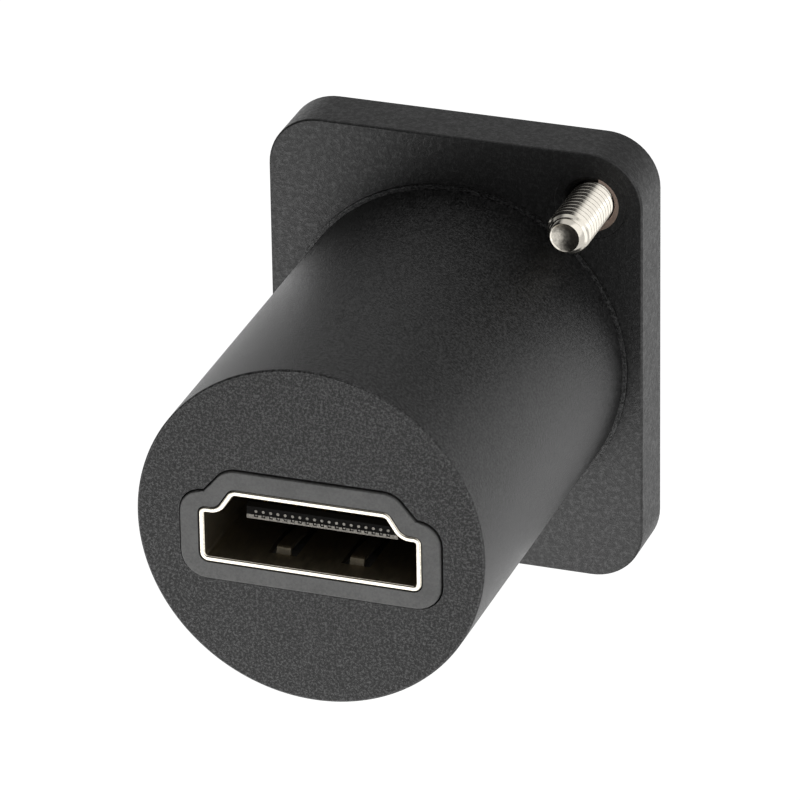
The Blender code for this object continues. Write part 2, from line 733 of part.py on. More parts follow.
def hdmi_contacts(look):
    """Pins 1, 3 ... 19 on the wide side, below, and 2, 4 ... 18 on the narrow side, above."""
    path = [
        (NOSE_Y + TONGUE_RECESS + HDMI_CONTACT_START, TONGUE_Z + hdmi_level()),
        (BLOCK_BACK_Y + TAIL_LENGTH, TONGUE_Z + hdmi_level()),
    ]
    under = [(y, 2 * TONGUE_Z - z) for y, z in path]
    for row, first, count in ((under, 1, HDMI_WIDE_ROW), (path, 2, HDMI_NARROW_ROW)):
        for i, x in enumerate(centred(count, HDMI_PITCH)):
            name = f"hdmi_contact_{first + 2 * i:02d}"
            finish(ribbon(name, row, x, HDMI_CONTACT_WIDTH, HDMI_CONTACT_SHEET), look)


def main_board(look):
    """Board whose neck stands between the HDMI tabs and whose arms stand beside the USB-C shell."""
    low, high = TONGUE_Z - BOARD_THICKNESS / 2, TONGUE_Z + BOARD_THICKNESS / 2
    obj = block("main_board", (-BOARD_HALF_WIDTH, BOARD_BACK_Y, low), (BOARD_HALF_WIDTH, BOARD_FRONT_Y, high))
    neck = HDMI_HALF_WIDTH - HDMI_SHEET - FIT
    tab_end = NOSE_Y + HDMI_SHELL_LENGTH + HDMI_TAB_LENGTH + FIT
    for side in (1, -1):
        inner, outer = sorted((side * neck, side * (BOARD_HALF_WIDTH + OVERSHOOT)))
        notch = block(
            f"tab_notch_{side}",
            (inner, BOARD_BACK_Y - OVERSHOOT, low - OVERSHOOT),
            (outer, tab_end, high + OVERSHOOT),
        )
        cut(obj, notch)
    arm = USB_WIDTH / 2 + BOARD_ARM_GAP
    bay = block(
        "usb_bay",
        (-arm, BOARD_CUT_Y, low - OVERSHOOT),
        (arm, BOARD_FRONT_Y + OVERSHOOT, high + OVERSHOOT),
    )
    cut(obj, bay)
    return finish(obj, look)


def on_board(name, size, x, y, below=False):
    """A box soldered to the board's top, or to its underside."""
    width, length, height = size
    base = BOARD_TOP + SOLDER
    low, high = base, base + height
    if below:
        low, high = 2 * TONGUE_Z - high, 2 * TONGUE_Z - low
    return block(name, (x - width / 2, y - length / 2, low), (x + width / 2, y + length / 2, high))


def board_pieces(chip_look, can_look, ceramic_look):
    """The converter, its crystal and capacitors above, and the supply's regulator below."""
    middle = BOARD_BACK_Y + CHIP_PLACE * (BOARD_CUT_Y - BOARD_BACK_Y)
    chip = on_board("converter_chip", (CHIP_SIDE, CHIP_SIDE, CHIP_HEIGHT), 0, middle)
    bevel(chip, CHIP_EDGE, 1)
    top = BOARD_TOP + SOLDER + CHIP_HEIGHT
    mark = CHIP_SIDE / 2 - CHIP_DIMPLE_MARGIN
    radius = CHIP_DIMPLE / 2
    profile = [(0, CHIP_DIMPLE), (radius, CHIP_DIMPLE), (radius, 0), (0, 0)]
    dimple = turned("pin_mark", profile, segments=16)
    turn = Matrix.Rotation(math.radians(90), 4, "X")
    dimple.data.transform(Matrix.Translation((-mark, middle - mark, top - CHIP_DIMPLE_DEPTH)) @ turn)
    cut(chip, dimple)
    finish(chip, chip_look)

    regulator = on_board("regulator", REGULATOR_SIZE, 0, middle, below=True)
    finish(bevel(regulator, CHIP_EDGE, 1), chip_look)

    beside = CHIP_SIDE / 2 + CHIP_GAP
    crystal = on_board("crystal", CRYSTAL_SIZE, beside + CRYSTAL_SIZE[0] / 2, middle)
    finish(bevel(crystal, CRYSTAL_EDGE, 2), can_look)

    width, length, height = CAPACITOR_SIZE
    for i, along in enumerate((-1, 1)):
        x = -(beside + width / 2)
        y = middle + along * CHIP_SIDE / 4
        name = f"capacitor_{i + 1}"
        body = on_board(name, (width, length, height), x, y)
        for end in (-1, 1):
            size = (CAPACITOR_END, length + 2 * CAPACITOR_LIP, height + CAPACITOR_LIP)
            place = x + end * (width - CAPACITOR_END) / 2
            join(body, on_board(f"{name}_end_{end}", size, place + end * CAPACITOR_LIP, y))
        finish(body, ceramic_look)


def usb_c_shell(look):
    """Seamless drawn tube with a solder tab on each side, over the board's arms."""
    outer = usb_outline()
    obj = prism("usb_c_shell", [outer, grown(outer, -USB_SHEET)], USB_BACK_Y, USB_FRONT_Y, steps=8)
    base = BOARD_TOP + SOLDER
    y = USB_BACK_Y + USB_TAB_LENGTH
    for side in (1, -1):
        near, far = sorted((side * (USB_WIDTH / 2 - USB_SHEET), side * (USB_WIDTH / 2 + USB_TAB_REACH)))
        tab = block(
            f"usb_tab_{side}",
            (near, y - USB_TAB_LENGTH / 2, base),
            (far, y + USB_TAB_LENGTH / 2, base + USB_SHEET),
        )
        join(obj, tab)
    return finish(obj, look)


def usb_levels():
    """Heights above the middle plane of a contact's middle: on the tongue, and on the board."""
    on_tongue = USB_TONGUE_THICKNESS / 2 + USB_CONTACT_PROUD - USB_CONTACT_SHEET / 2
    return on_tongue, PAD_LEVEL + USB_CONTACT_SHEET / 2


def usb_c_insulator(look):
    """Block in the shell's back with the thin tongue, grooved for the contacts and slit for the mid plate."""
    front = USB_FRONT_Y - USB_TONGUE_RECESS
    outline = grown(usb_outline(), -USB_SHEET - SHEET_FIT)
    obj = prism("usb_c_insulator", [outline], USB_BLOCK_BACK_Y, USB_ROOT_Y, 8)
    half = USB_TONGUE_THICKNESS / 2
    tongue = prism(
        "usb_tongue",
        [box_corners(USB_TONGUE_WIDTH, TONGUE_Z - half, TONGUE_Z + half, USB_TONGUE_NOSE)],
        USB_ROOT_Y - USB_BLOCK_LENGTH / 2,
        front,
        steps=1,
    )
    join(obj, tongue)
    on_tongue, on_board_level = usb_levels()
    groove = USB_CONTACT_WIDTH + 2 * CONTACT_FIT
    depth = USB_CONTACT_SHEET / 2 + CONTACT_FIT
    for side in (1, -1):
        name = "top" if side > 0 else "under"
        places = centred(USB_ROW, USB_PITCH)
        floor = TONGUE_Z + side * (on_tongue - depth)
        z_range = sorted((floor, TONGUE_Z + side * (on_tongue + OVERSHOOT)))
        y_range = (USB_ROOT_Y - CONTACT_FIT, front - USB_CONTACT_START + CONTACT_FIT)
        cut(obj, comb(f"usb_grooves_{name}", places, groove, y_range, z_range))
        z_range = sorted((floor, TONGUE_Z + side * (on_board_level + depth)))
        y_range = (USB_BLOCK_BACK_Y - OVERSHOOT, USB_ROOT_Y + CONTACT_FIT)
        cut(obj, comb(f"usb_slots_{name}", places, groove, y_range, z_range))
    slit = MID_PLATE_SHEET / 2 + CONTACT_FIT
    cut(
        obj,
        block(
            "plate_slit",
            (-USB_WIDTH, USB_BLOCK_BACK_Y + USB_BLOCK_LENGTH / 3, TONGUE_Z - slit),
            (USB_WIDTH, front - MID_PLATE_START + CONTACT_FIT, TONGUE_Z + slit),
        ),
    )
    return finish(obj, look)


def usb_c_mid_plate(look):
    """Ground plate in the tongue's middle, whose edges stand in the tongue's sides for the plug's latches."""
    half = USB_TONGUE_WIDTH / 2
    obj = block(
        "usb_c_mid_plate",
        (-half, USB_BLOCK_BACK_Y + USB_BLOCK_LENGTH / 3 + CONTACT_FIT, TONGUE_Z - MID_PLATE_SHEET / 2),
        (half, USB_FRONT_Y - USB_TONGUE_RECESS - MID_PLATE_START, TONGUE_Z + MID_PLATE_SHEET / 2),
    )
    return finish(obj, look)


def usb_c_contacts(look):
    """Two rows of twelve, each bent up behind the block on to the board's pads."""
    on_tongue, on_board_level = usb_levels()
    front = USB_FRONT_Y - USB_TONGUE_RECESS
    bend = USB_BLOCK_LENGTH / 4
    path = [
        (front - USB_CONTACT_START, TONGUE_Z + on_tongue),
        (USB_ROOT_Y - bend, TONGUE_Z + on_tongue),
        (USB_ROOT_Y - 2 * bend, TONGUE_Z + on_board_level),
        (BOARD_CUT_Y - TAIL_LENGTH, TONGUE_Z + on_board_level),
    ]
    under = [(y, 2 * TONGUE_Z - z) for y, z in path]
    for row, line in (("a", path), ("b", under)):
        for i, x in enumerate(centred(USB_ROW, USB_PITCH)):
            name = f"usb_c_contact_{row}{i + 1:02d}"
            finish(ribbon(name, line, x, USB_CONTACT_WIDTH, USB_CONTACT_SHEET), look)


def main():
    clear_scene()
    textured_black = material("black_textured_plastic", (0.018, 0.018, 0.018), 0.0, 0.62)
    smooth_grey = material("dark_grey_plastic", (0.045, 0.045, 0.045), 0.0, 0.50)
    nickel = material("nickel_plate", (0.66, 0.62, 0.55), 1.0, 0.28)
    steel = material("nickel_plated_steel", (0.60, 0.57, 0.52), 1.0, 0.30)
    insulator = material("black_connector_plastic", (0.010, 0.010, 0.011), 0.0, 0.45)
    gold = material("gold_plate", (0.80, 0.58, 0.22), 1.0, 0.25)
    laminate = material("green_board", (0.010, 0.070, 0.030), 0.0, 0.40)
    epoxy = material("chip_epoxy", (0.020, 0.020, 0.022), 0.0, 0.55)
    can = material("crystal_can", (0.60, 0.60, 0.58), 1.0, 0.30)
    ceramic = material("capacitor_ceramic", (0.30, 0.20, 0.13), 0.0, 0.50)

    housing(textured_black)
    front_bezel(smooth_grey)
    adapter_carrier(smooth_grey)
    hdmi_shell(nickel)
    hdmi_insulator(insulator)
    hdmi_contacts(gold)
    main_board(laminate)
    board_pieces(epoxy, can, ceramic)
    usb_c_shell(nickel)
    usb_c_insulator(insulator)
    usb_c_mid_plate(steel)
    usb_c_contacts(gold)
    for name, side in (("flange_screw_right", 1), ("flange_screw_left", -1)):
        flange_screw(name, side * SCREW_X, side * SCREW_Z, steel)


main()
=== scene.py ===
import math
from collections import namedtuple
from contextlib import contextmanager

import bmesh
import bpy
from bpy.props import FloatProperty, FloatVectorProperty, IntProperty, PointerProperty
from bpy.types import Operator, Panel, PropertyGroup
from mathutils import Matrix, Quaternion, Vector


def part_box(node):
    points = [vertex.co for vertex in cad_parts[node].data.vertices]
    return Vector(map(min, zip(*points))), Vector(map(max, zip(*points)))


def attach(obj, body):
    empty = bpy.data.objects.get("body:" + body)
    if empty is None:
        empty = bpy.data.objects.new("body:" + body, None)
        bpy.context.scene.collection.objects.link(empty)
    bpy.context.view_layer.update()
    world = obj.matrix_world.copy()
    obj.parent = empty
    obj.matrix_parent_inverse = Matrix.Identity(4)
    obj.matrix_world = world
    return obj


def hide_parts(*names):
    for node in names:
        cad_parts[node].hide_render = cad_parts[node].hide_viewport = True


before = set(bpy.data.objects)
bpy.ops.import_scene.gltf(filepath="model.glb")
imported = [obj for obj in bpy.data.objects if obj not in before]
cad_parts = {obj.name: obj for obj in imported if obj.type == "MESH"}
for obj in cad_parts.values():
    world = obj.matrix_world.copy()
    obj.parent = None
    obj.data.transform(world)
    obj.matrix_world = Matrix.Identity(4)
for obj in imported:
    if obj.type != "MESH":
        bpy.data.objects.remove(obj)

bl_info = {
    "name": "Panel Feed-through Adapter",
    "version": (1, 0, 0),
    "blender": (4, 5, 0),
    "location": "3D View > Sidebar > Adapter",
    "description": "Models a round-barrelled panel adapter with a socket at each end, piece by piece",
    "category": "Add Mesh",
}

MM = 0.001
NEAR = 0.002 * MM  # how far from a place a point may lie and still count as there
WELD = 0.0005 * MM
FIT = 0.10 * MM  # between mouldings that seat on each other
SHEET_FIT = 0.06 * MM  # round a stamped shell
MOUTH_FIT = 0.085 * MM  # round the insert's nose, which rests on the lower left of its opening
MOUTH_SHIFT = (0.7 * MOUTH_FIT, 0.9 * MOUTH_FIT)  # from the nose's middle to its opening's
CONTACT_FIT = 0.03 * MM  # round a contact in its groove
STOP_FIT = 0.25 * MM  # from the front socket to the bezel's board stops
SOLDER = 0.05 * MM  # between the board and a tab on it
LAP = 0.1 * MM  # how far the parts of one shape run into each other
OVERSHOOT = 1.0 * MM  # how far a cutter runs past what it cuts
ROUND_SEGMENTS = 160
SMALL_SEGMENTS = 64
SMOOTH_UP_TO = math.radians(30)
SHARP_FROM = math.radians(60)
BODY = "root"

THREAD_DEPTH = 0.6134  # of a metric screw thread, in pitches
ROUND_END = 0.98  # rounding of the front socket's ends, as a share of half its height
RECESS_TAPER = 0.5  # the cross recess's floor, as a share of its mouth
PAINTED_REFLECTION_FROM = 0.5 * MM  # from the middle of a flange hole to the side of its taper that takes a painted reflection
TINNED_END = 0.35 * MM  # length of a capacitor's tinned ends
# Side view of a spring finger, as shares of its length and rise: level at its root, with its tip bent back
FINGER_BENDS = ((0.88, 0.0), (0.74, 0.10), (0.60, 0.32), (0.46, 0.58), (0.32, 0.80), (0.20, 0.93), (0.11, 0.99),
                (0.075, 1.0), (0.055, 0.98), (0.04, 0.91), (0.0, -0.2))
CUP_SHAPE = ((0.75, 0.55), (0.4, 0.9), (0.0, 1.0))  # of the screws' ends, as shares of radius and depth

# Spans of a noise, which runs from 0 to 1
MOST = (0.3, 0.7)
PATCHES = (0.35, 0.65)
GLINTS = (0.48, 0.60)

CARD_DIRECTION = (0.80, -0.45, 0.40)
CARD_STRENGTH = 1.6
EVEN_LIGHT = 0.28
FLOOR_WIDTH = 4.0
# Soft boxes: name, direction from the adapter, distance and width in metres, radiance
LAMPS = (
    ("front_lamp", (-0.38, -0.66, -0.65), 0.18, 0.17, 1.7),
    ("right_lamp", (0.60, -0.65, -0.40), 0.50, 0.50, 0.7),
)

# Where the frame's solids stand
HOUSING_LOW, HOUSING_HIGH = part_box("housing")
CARRIER_LOW, CARRIER_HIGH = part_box("adapter_carrier")
BEZEL_LOW, BEZEL_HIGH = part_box("front_bezel")
BARREL_SHELL_LOW, BARREL_SHELL_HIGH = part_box("hdmi_shell")
BARREL_BLOCK_LOW, BARREL_BLOCK_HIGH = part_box("hdmi_insulator")
FRONT_SHELL_LOW, FRONT_SHELL_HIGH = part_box("usb_c_shell")
FRONT_BLOCK_LOW, FRONT_BLOCK_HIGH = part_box("usb_c_insulator")
BOARD_LOW, BOARD_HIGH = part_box("main_board")
SCREW_LOW, SCREW_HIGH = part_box("flange_screw_right")
PLATE_LOW, PLATE_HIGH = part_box("usb_c_mid_plate")

FRONT_Y = HOUSING_HIGH.y
END_Y = HOUSING_LOW.y
NOSE_Y = CARRIER_LOW.y
BORE_RADIUS = CARRIER_HIGH.x + FIT
SCREW_PLACE = (SCREW_LOW + SCREW_HIGH) / 2
TONGUE_Z = (BOARD_LOW.z + BOARD_HIGH.z) / 2


def linear(text):
    """The linear colour of an sRGB hex value."""
    shares = [int(text[i:i + 2], 16) / 255 for i in (0, 2, 4)]
    return tuple(c / 12.92 if c <= 0.04045 else ((c + 0.055) / 1.055) ** 2.4 for c in shares)


def size(name, millimetres, description):
    """A length that a user can change, given here in millimetres and kept in metres."""
    return FloatProperty(
        name=name, description=description, default=millimetres * MM, min=0.0, precision=5, unit="LENGTH"
    )


def colour(name, text, description):
    """A colour that a user can change, given here as an sRGB hex value."""
    return FloatVectorProperty(
        name=name, description=description, default=linear(text), size=3, min=0.0, max=1.0, subtype="COLOR"
    )


class HousingSettings(PropertyGroup):
    """Flange and barrel"""

    barrel_diameter: size("Barrel diameter", 23.6, "Outside of the barrel, which passes through the panel")
    barrel_edge: size("Barrel edge", 0.15, "Rounding round the barrel's end")
    end_wall: size("End wall", 2.0, "Thickness of the barrel's end wall")
    flange_corner: size("Flange corner", 3.65, "Rounding of the flange's four corners")
    flange_edge: size("Flange edge", 0.15, "Rounding along the flange's outline")
    step_width: size("Root step width", 0.30, "How far the step at the barrel's root stands out")
    step_height: size("Root step height", 0.25, "How far the step stands behind the flange")
    seat_chamfer: size("Seat chamfer", 0.12, "Broken edge of the bezel's seat in the flange's front")
    screw_hole: size("Screw hole", 3.9, "Diameter of the two flange holes at their back")
    hole_neck: size("Hole neck", 3.14, "Diameter of the holes behind their tapered back end")
    hole_taper: size("Hole taper", 0.32, "Depth of that taper")
    hole_mouth: size("Hole mouth", 5.0, "Diameter of the shallow mouth round the hole's back")
    mouth_depth: size("Mouth depth", 0.03, "Depth of that mouth")
    black: colour("Black", "0F0F0F", "Colour of the moulded polyamide")
    end_grain: size("End grain", 0.09, "Width of the spark-eroded grain on the barrel's end")
    flange_grain: size("Flange grain", 0.18, "Width of the spark-eroded grain on the flange")
    # Pale brownish tint painted on one side of each hole's taper, as a reflection of the lit screw
    painted_reflection: colour("Rubbed", "CBB5A9", "Colour where a screw has rubbed the hole's edge")


class CarrierSettings(PropertyGroup):
    """Insert whose nose shows round the barrel socket, and the bezel in the flange's front"""

    nose_side: size("Nose beside", 1.30, "What the nose shows beside the socket shell")
    nose_below: size("Nose below", 1.25, "What the nose shows below the shell")
    nose_above_shoulder: size("Nose above shoulder", 1.10, "What the nose shows above the shell's shoulders")
    nose_above: size("Nose above", 1.37, "What the nose shows above the shell")
    nose_beside_neck: size("Nose beside neck", 0.90, "From the shell's neck corner to the nose's")
    nose_beside_top: size("Nose beside top", 0.38, "From the shell's top corner to the nose's")
    bottom_round: size("Nose bottom rounding", 1.8, "Rounding of the nose's lower corners")
    shoulder_round: size("Nose shoulder rounding", 1.6, "Rounding of the nose's shoulders")
    neck_round: size("Nose neck rounding", 1.8, "Rounding of the nose's inner corners")
    top_round: size("Nose top rounding", 1.5, "Rounding of the nose's upper corners")
    nose_edge: size("Nose edge", 0.12, "Rounding along the nose's outline")
    wall: size("Carrier wall", 2.0, "End wall that holds the socket shell")
    cavity_spare: size("Cavity spare", 0.19, "Room beside the shell in the carrier's cavity")
    headroom: size("Cavity headroom", 1.5, "Room over and under the shell")
    cavity_corner: size("Cavity corner", 0.8, "Rounding of the cavity's corners")
    rail: size("Board rail", 0.7, "Depth of the grooves that hold the board's edges")
    bezel_edge: size("Bezel edge", 0.2, "Rounding round the bezel's front")
    bezel_thickness: size("Bezel thickness", 2.2, "From the bezel's front to the ledge it sits on")
    lead_in: size("Lead-in", 0.35, "Chamfer round the front socket's slot")
    stop_width: size("Stop width", 1.0, "Width of the bezel's two board stops")
    stop_height: size("Stop height", 4.0, "Height of the bezel's two board stops")
    grey: colour("Grey", "4D4D4C", "Colour of the insert's plastic")


class BarrelSocketSettings(PropertyGroup):
    """Stamped shell, tongue and block in the barrel's end"""

    shoulder: size("Shoulder height", 1.15, "Height of the shell's shoulders above the barrel's axis")
    neck_half: size("Neck half width", 6.30, "From the middle to the shell's inner corners")
    top_half: size("Top half width", 5.35, "From the middle to the shell's upper corners")
    bottom_round: size("Bottom rounding", 0.6, "Rounding of the shell's lower corners")
    shoulder_round: size("Shoulder rounding", 0.5, "Rounding of the shell's shoulders")
    neck_round: size("Neck rounding", 0.8, "Rounding of the shell's inner corners")
    top_round: size("Top rounding", 0.6, "Rounding of the shell's upper corners")
    sheet: size("Sheet", 0.39, "Thickness of the shell's sheet at its mouth")
    rim: size("Rim rounding", 0.12, "Rounding of the rim that faces the plug")
    tab_length: size("Tab length", 1.9, "Length of the two solder tabs")
    tab_height: size("Tab height", 1.8, "Height of the two solder tabs")
    finger_x: size("Finger place", 2.5, "From the middle to each spring finger")
    finger_width: size("Finger width", 0.96, "Width of a spring finger")
    finger_slot: size("Finger slot", 0.50, "Gap beside a spring finger")
    finger_start: size("Finger start", 1.9, "From the rim to a finger's tip")
    finger_length: size("Finger length", 5.4, "Length of a spring finger")
    finger_sheet: size("Finger sheet", 0.25, "Thickness of a spring finger")
    finger_rise: size("Finger rise", 0.45, "How far a finger stands inward")
    tongue_width: size("Tongue width", 10.3, "Width of the tongue")
    tongue_thickness: size("Tongue thickness", 1.1, "Thickness of the tongue")
    tongue_nose: size("Tongue nose", 0.25, "Chamfer of the tongue's front edge")
    block_start: size("Block start", 8.2, "From the rim to the block that closes the shell")
    pitch: size("Pitch", 1.0, "Distance between contacts of one row")
    wide_row: IntProperty(name="Wide row", description="Contacts in the lower row", default=10, min=1)
    narrow_row: IntProperty(name="Narrow row", description="Contacts in the upper row", default=9, min=1)
    contact_width: size("Contact width", 0.30, "Width of a contact")
    contact_start: size("Contact start", 0.45, "From the tongue's nose to a contact's tip")
    contact_sheet: size("Contact sheet", 0.15, "Thickness of a contact")
    contact_level: size("Contact level", 0.525, "From the tongue's middle plane to a contact's middle")
    strip_height: size("Strip height", 0.28, "Height of the cut sheet edge along the tongue's nose")
    strip_proud: size("Strip proud", 0.02, "How far that edge stands out of the nose")
    pit_width: size("Pit width", 0.26, "Width of a pit in the tongue's nose")
    pit_height: size("Pit height", 0.16, "Height of a pit in the tongue's nose")
    pit_depth: size("Pit depth", 0.15, "Depth of a pit in the tongue's nose")
    pin_diameter: size("Pin diameter", 0.25, "Diameter of the contact ends above the strip")
    nickel: colour("Nickel", "CBC5B8", "Colour of the plated sheet")
    # Darker than the nickel outside: painted shade inside the shell
    wall: colour("Wall", "938A78", "Colour of the sheet inside the shell")
    plastic: colour("Connector plastic", "0B0A09", "Colour of the tongue and block")
    cut_edge: colour("Cut edge", "A39F97", "Colour of the cut sheet edge and contact ends in the tongue's nose")


class FrontSocketSettings(PropertyGroup):
    """Drawn shell, thin tongue and block in the flange's front"""

    width: size("Shell width", 8.94, "Outside width of the shell")
    height: size("Shell height", 3.16, "Outside height of the shell")
    sheet: size("Sheet", 0.30, "Thickness of the shell's sheet")
    rim: size("Rim rounding", 0.09, "Rounding of the shell's rim")
    tab_length: size("Tab length", 1.3, "Length of the two solder tabs")
    tongue_width: size("Tongue width", 6.69, "Width of the tongue")
    tongue_thickness: size("Tongue thickness", 0.70, "Thickness of the tongue")
    tongue_length: size("Tongue length", 4.45, "Length of the tongue")
    tongue_edge: size("Tongue edge", 0.12, "Rounding along the tongue")
    pitch: size("Pitch", 0.5, "Distance between contacts of one row")
    row: IntProperty(name="Row", description="Contacts in each row", default=12, min=1)
    contact_width: size("Contact width", 0.25, "Width of a contact")
    contact_sheet: size("Contact sheet", 0.10, "Thickness of a contact")
    contact_proud: size("Contact proud", 0.02, "How far a contact stands out of the tongue")
    contact_start: size("Contact start", 0.45, "From the tongue's nose to a contact's tip")
    pad_level: size("Pad level", 0.45, "From the middle plane to the underside of a contact's tail")


class ScrewSettings(PropertyGroup):
    """Countersunk machine screws in two opposite corners of the flange"""

    diameter: size("Diameter", 3.0, "Outside diameter of the thread")
    pitch: size("Pitch", 0.5, "Distance between turns of the thread")
    crest_round: size("Crest rounding", 0.05, "Rounding of the thread's crest")
    head: size("Head diameter", 5.5, "Diameter of the countersunk head")
    head_rim: size("Head rim", 0.2, "Height of the head's straight rim")
    tip_chamfer: size("Tip chamfer", 0.42, "Chamfer of the screw's end, which is twice as long")
    tip_rim: size("Tip rim", 0.15, "Lip round the cup in the screw's end")
    cup_depth: size("Cup depth", 0.42, "Depth of the cup in the screw's end")
    recess_span: size("Recess span", 2.8, "Length of the cross recess's arms")
    recess_blade: size("Recess blade", 0.6, "Width of the cross recess's arms")
    recess_depth: size("Recess depth", 1.1, "Depth of the cross recess")
    steel: colour("Plated steel", "C9C4BA", "Colour of the nickel-plated steel")


class StageSettings(PropertyGroup):
    """Camera, floor and light"""

    azimuth: FloatProperty(name="Azimuth", default=math.radians(19.60), subtype="ANGLE",
                           description="Turn of the camera round the adapter, from straight behind its barrel")
    elevation: FloatProperty(name="Elevation", default=math.radians(26.23), subtype="ANGLE",
                             description="Height of the camera above the level")
    roll: FloatProperty(name="Roll", default=math.radians(-0.915), subtype="ANGLE",
                        description="Turn of the camera about its own axis")
    distance: size("Distance", 472.87, "From the camera to its aim point")
    aim: FloatVectorProperty(name="Aim point", default=(4.2735 * MM, -23.391 * MM, 7.815 * MM),
                             description="Point at the middle of the picture", subtype="TRANSLATION")
    lens: FloatProperty(name="Lens", default=333.4, description="Focal length in millimetres", min=1.0)
    floor_depth: size("Floor depth", 400.0, "From the barrel's axis down to the floor")
    white: colour("White", "FFFFFF", "Colour of the floor and backdrop")


Plug = namedtuple("Plug", "half_width bottom shoulder top neck_half top_half rounds")
Finish = namedtuple("Finish", "material tree shader place grains tone")


def only(obj):
    """Makes one object the selected and active one."""
    bpy.ops.object.select_all(action="DESELECT")
    obj.select_set(True)
    bpy.context.view_layer.objects.active = obj


def start(name, primitive, **settings):
    """A new primitive with a name of its own and its place in its mesh."""
    bpy.ops.object.select_all(action="DESELECT")
    primitive(**settings)
    obj = bpy.context.active_object
    obj.name = obj.data.name = name
    bpy.ops.object.transform_apply(location=True, rotation=True, scale=True)
    return obj


@contextmanager
def editing(obj):
    only(obj)
    bpy.ops.object.mode_set(mode="EDIT")
    yield
    bpy.ops.object.mode_set(mode="OBJECT")


def pick(obj, kind, test):
    """In edit mode, selects the verts, edges or faces that pass a test of their place."""
    bpy.ops.mesh.select_mode(type=kind)
    bpy.ops.mesh.select_all(action="DESELECT")
    bm = bmesh.from_edit_mesh(obj.data)
    items = {"VERT": bm.verts, "EDGE": bm.edges, "FACE": bm.faces}[kind]
    found = [item for item in items if test(item)]
    if not found:
        raise RuntimeError(f"{obj.name}: no {kind.lower()} lies where one was sought")
    for item in found:
        item.select_set(True)
    bmesh.update_edit_mesh(obj.data)


def all_at(item, axis, place):
    """Whether every corner of an edge or face lies at one place along an axis."""
    return all(abs(vert.co[axis] - place) < NEAR for vert in item.verts)


def along(edge, axis):
    """Whether an edge runs along an axis."""
    ends = edge.verts[1].co - edge.verts[0].co
    return all(abs(ends[k]) < NEAR for k in range(3) if k != axis)


def round_edges(obj, radius, segments, test):
    """Rounds the edges that pass the test."""
    with editing(obj):
        pick(obj, "EDGE", test)
        bpy.ops.mesh.bevel(offset=radius, segments=segments, affect="EDGES")


def round_rim(obj, radius, y, rounding):
    """Rounds the outer edge of a turned shape's end."""
    round_edges(obj, rounding, 4, lambda edge: all_at(edge, 1, y) and all(
        math.hypot(vert.co.x, vert.co.z) > radius - NEAR for vert in edge.verts
    ))


def cube(name, low, high):
    """A box between two corners."""
    low, high = Vector(low), Vector(high)
    return start(name, bpy.ops.mesh.primitive_cube_add, size=1.0, location=(low + high) / 2, scale=high - low)


def box(name, half_width, y_range, z_range):
    return cube(name, (-half_width, y_range[0], z_range[0]), (half_width, y_range[1], z_range[1]))


def apply(obj, kind, **settings):
    """Adds a modifier and applies it."""
    modifier = obj.modifiers.new(kind.lower(), kind)
    for key, value in settings.items():
        setattr(modifier, key, value)
    only(obj)
    bpy.ops.object.modifier_apply(modifier=modifier.name)


def combine(obj, operation, *others):
    """Cuts, joins or intersects with other objects, which are used up."""
    for other in others:
        apply(obj, "BOOLEAN", operation=operation, solver="EXACT", object=other)
        bpy.data.objects.remove(other, do_unlink=True)


def draw_line(name, points):
    """A line through points: a plane shrunk to one vertex, extruded from each point to the next."""
    obj = start(name, bpy.ops.mesh.primitive_plane_add, size=MM, location=points[0])
    with editing(obj):
        bpy.ops.mesh.select_mode(type="VERT")
        bpy.ops.mesh.select_all(action="SELECT")
        bpy.ops.mesh.merge(type="CENTER")
        for here, there in zip(points, points[1:]):
            move = Vector(there) - Vector(here)
            bpy.ops.mesh.extrude_region_move(TRANSFORM_OT_translate={"value": move})
    return obj


def turned(name, profile, segments=ROUND_SEGMENTS):
    """A turned shape about the Y axis, spun from its (radius, y) profile."""
    obj = draw_line(name, [(radius, y, 0) for radius, y in profile])
    with editing(obj):
        bpy.ops.mesh.select_all(action="SELECT")
        bpy.ops.mesh.spin(steps=segments, angle=math.tau, center=(0, 0, 0), axis=(0, 1, 0))
        bpy.ops.mesh.select_all(action="SELECT")
        bpy.ops.mesh.remove_doubles(threshold=WELD)
        bpy.ops.mesh.normals_make_consistent(inside=False)
    return obj


def moved(obj, x, z):
    """Moves a mesh across the barrel's axis, in its own points."""
    with editing(obj):
        bpy.ops.mesh.select_all(action="SELECT")
        bpy.ops.transform.translate(value=(x, 0, z))
    return obj


def grown(plug, by):
    """A plug outline moved outward all round by one distance."""
    slant = (plug.top_half - plug.neck_half) / (plug.top - plug.shoulder)
    shift = by * (slant + math.hypot(1, slant))
    bottom_round, shoulder_round, neck_round, top_round = plug.rounds
    return Plug(
        plug.half_width + by,
        plug.bottom - by,
        plug.shoulder + by,
        plug.top + by,
        plug.neck_half + shift,
        plug.top_half + shift,
        (bottom_round + by, shoulder_round + by, max(neck_round - by, NEAR), top_round + by),
    )


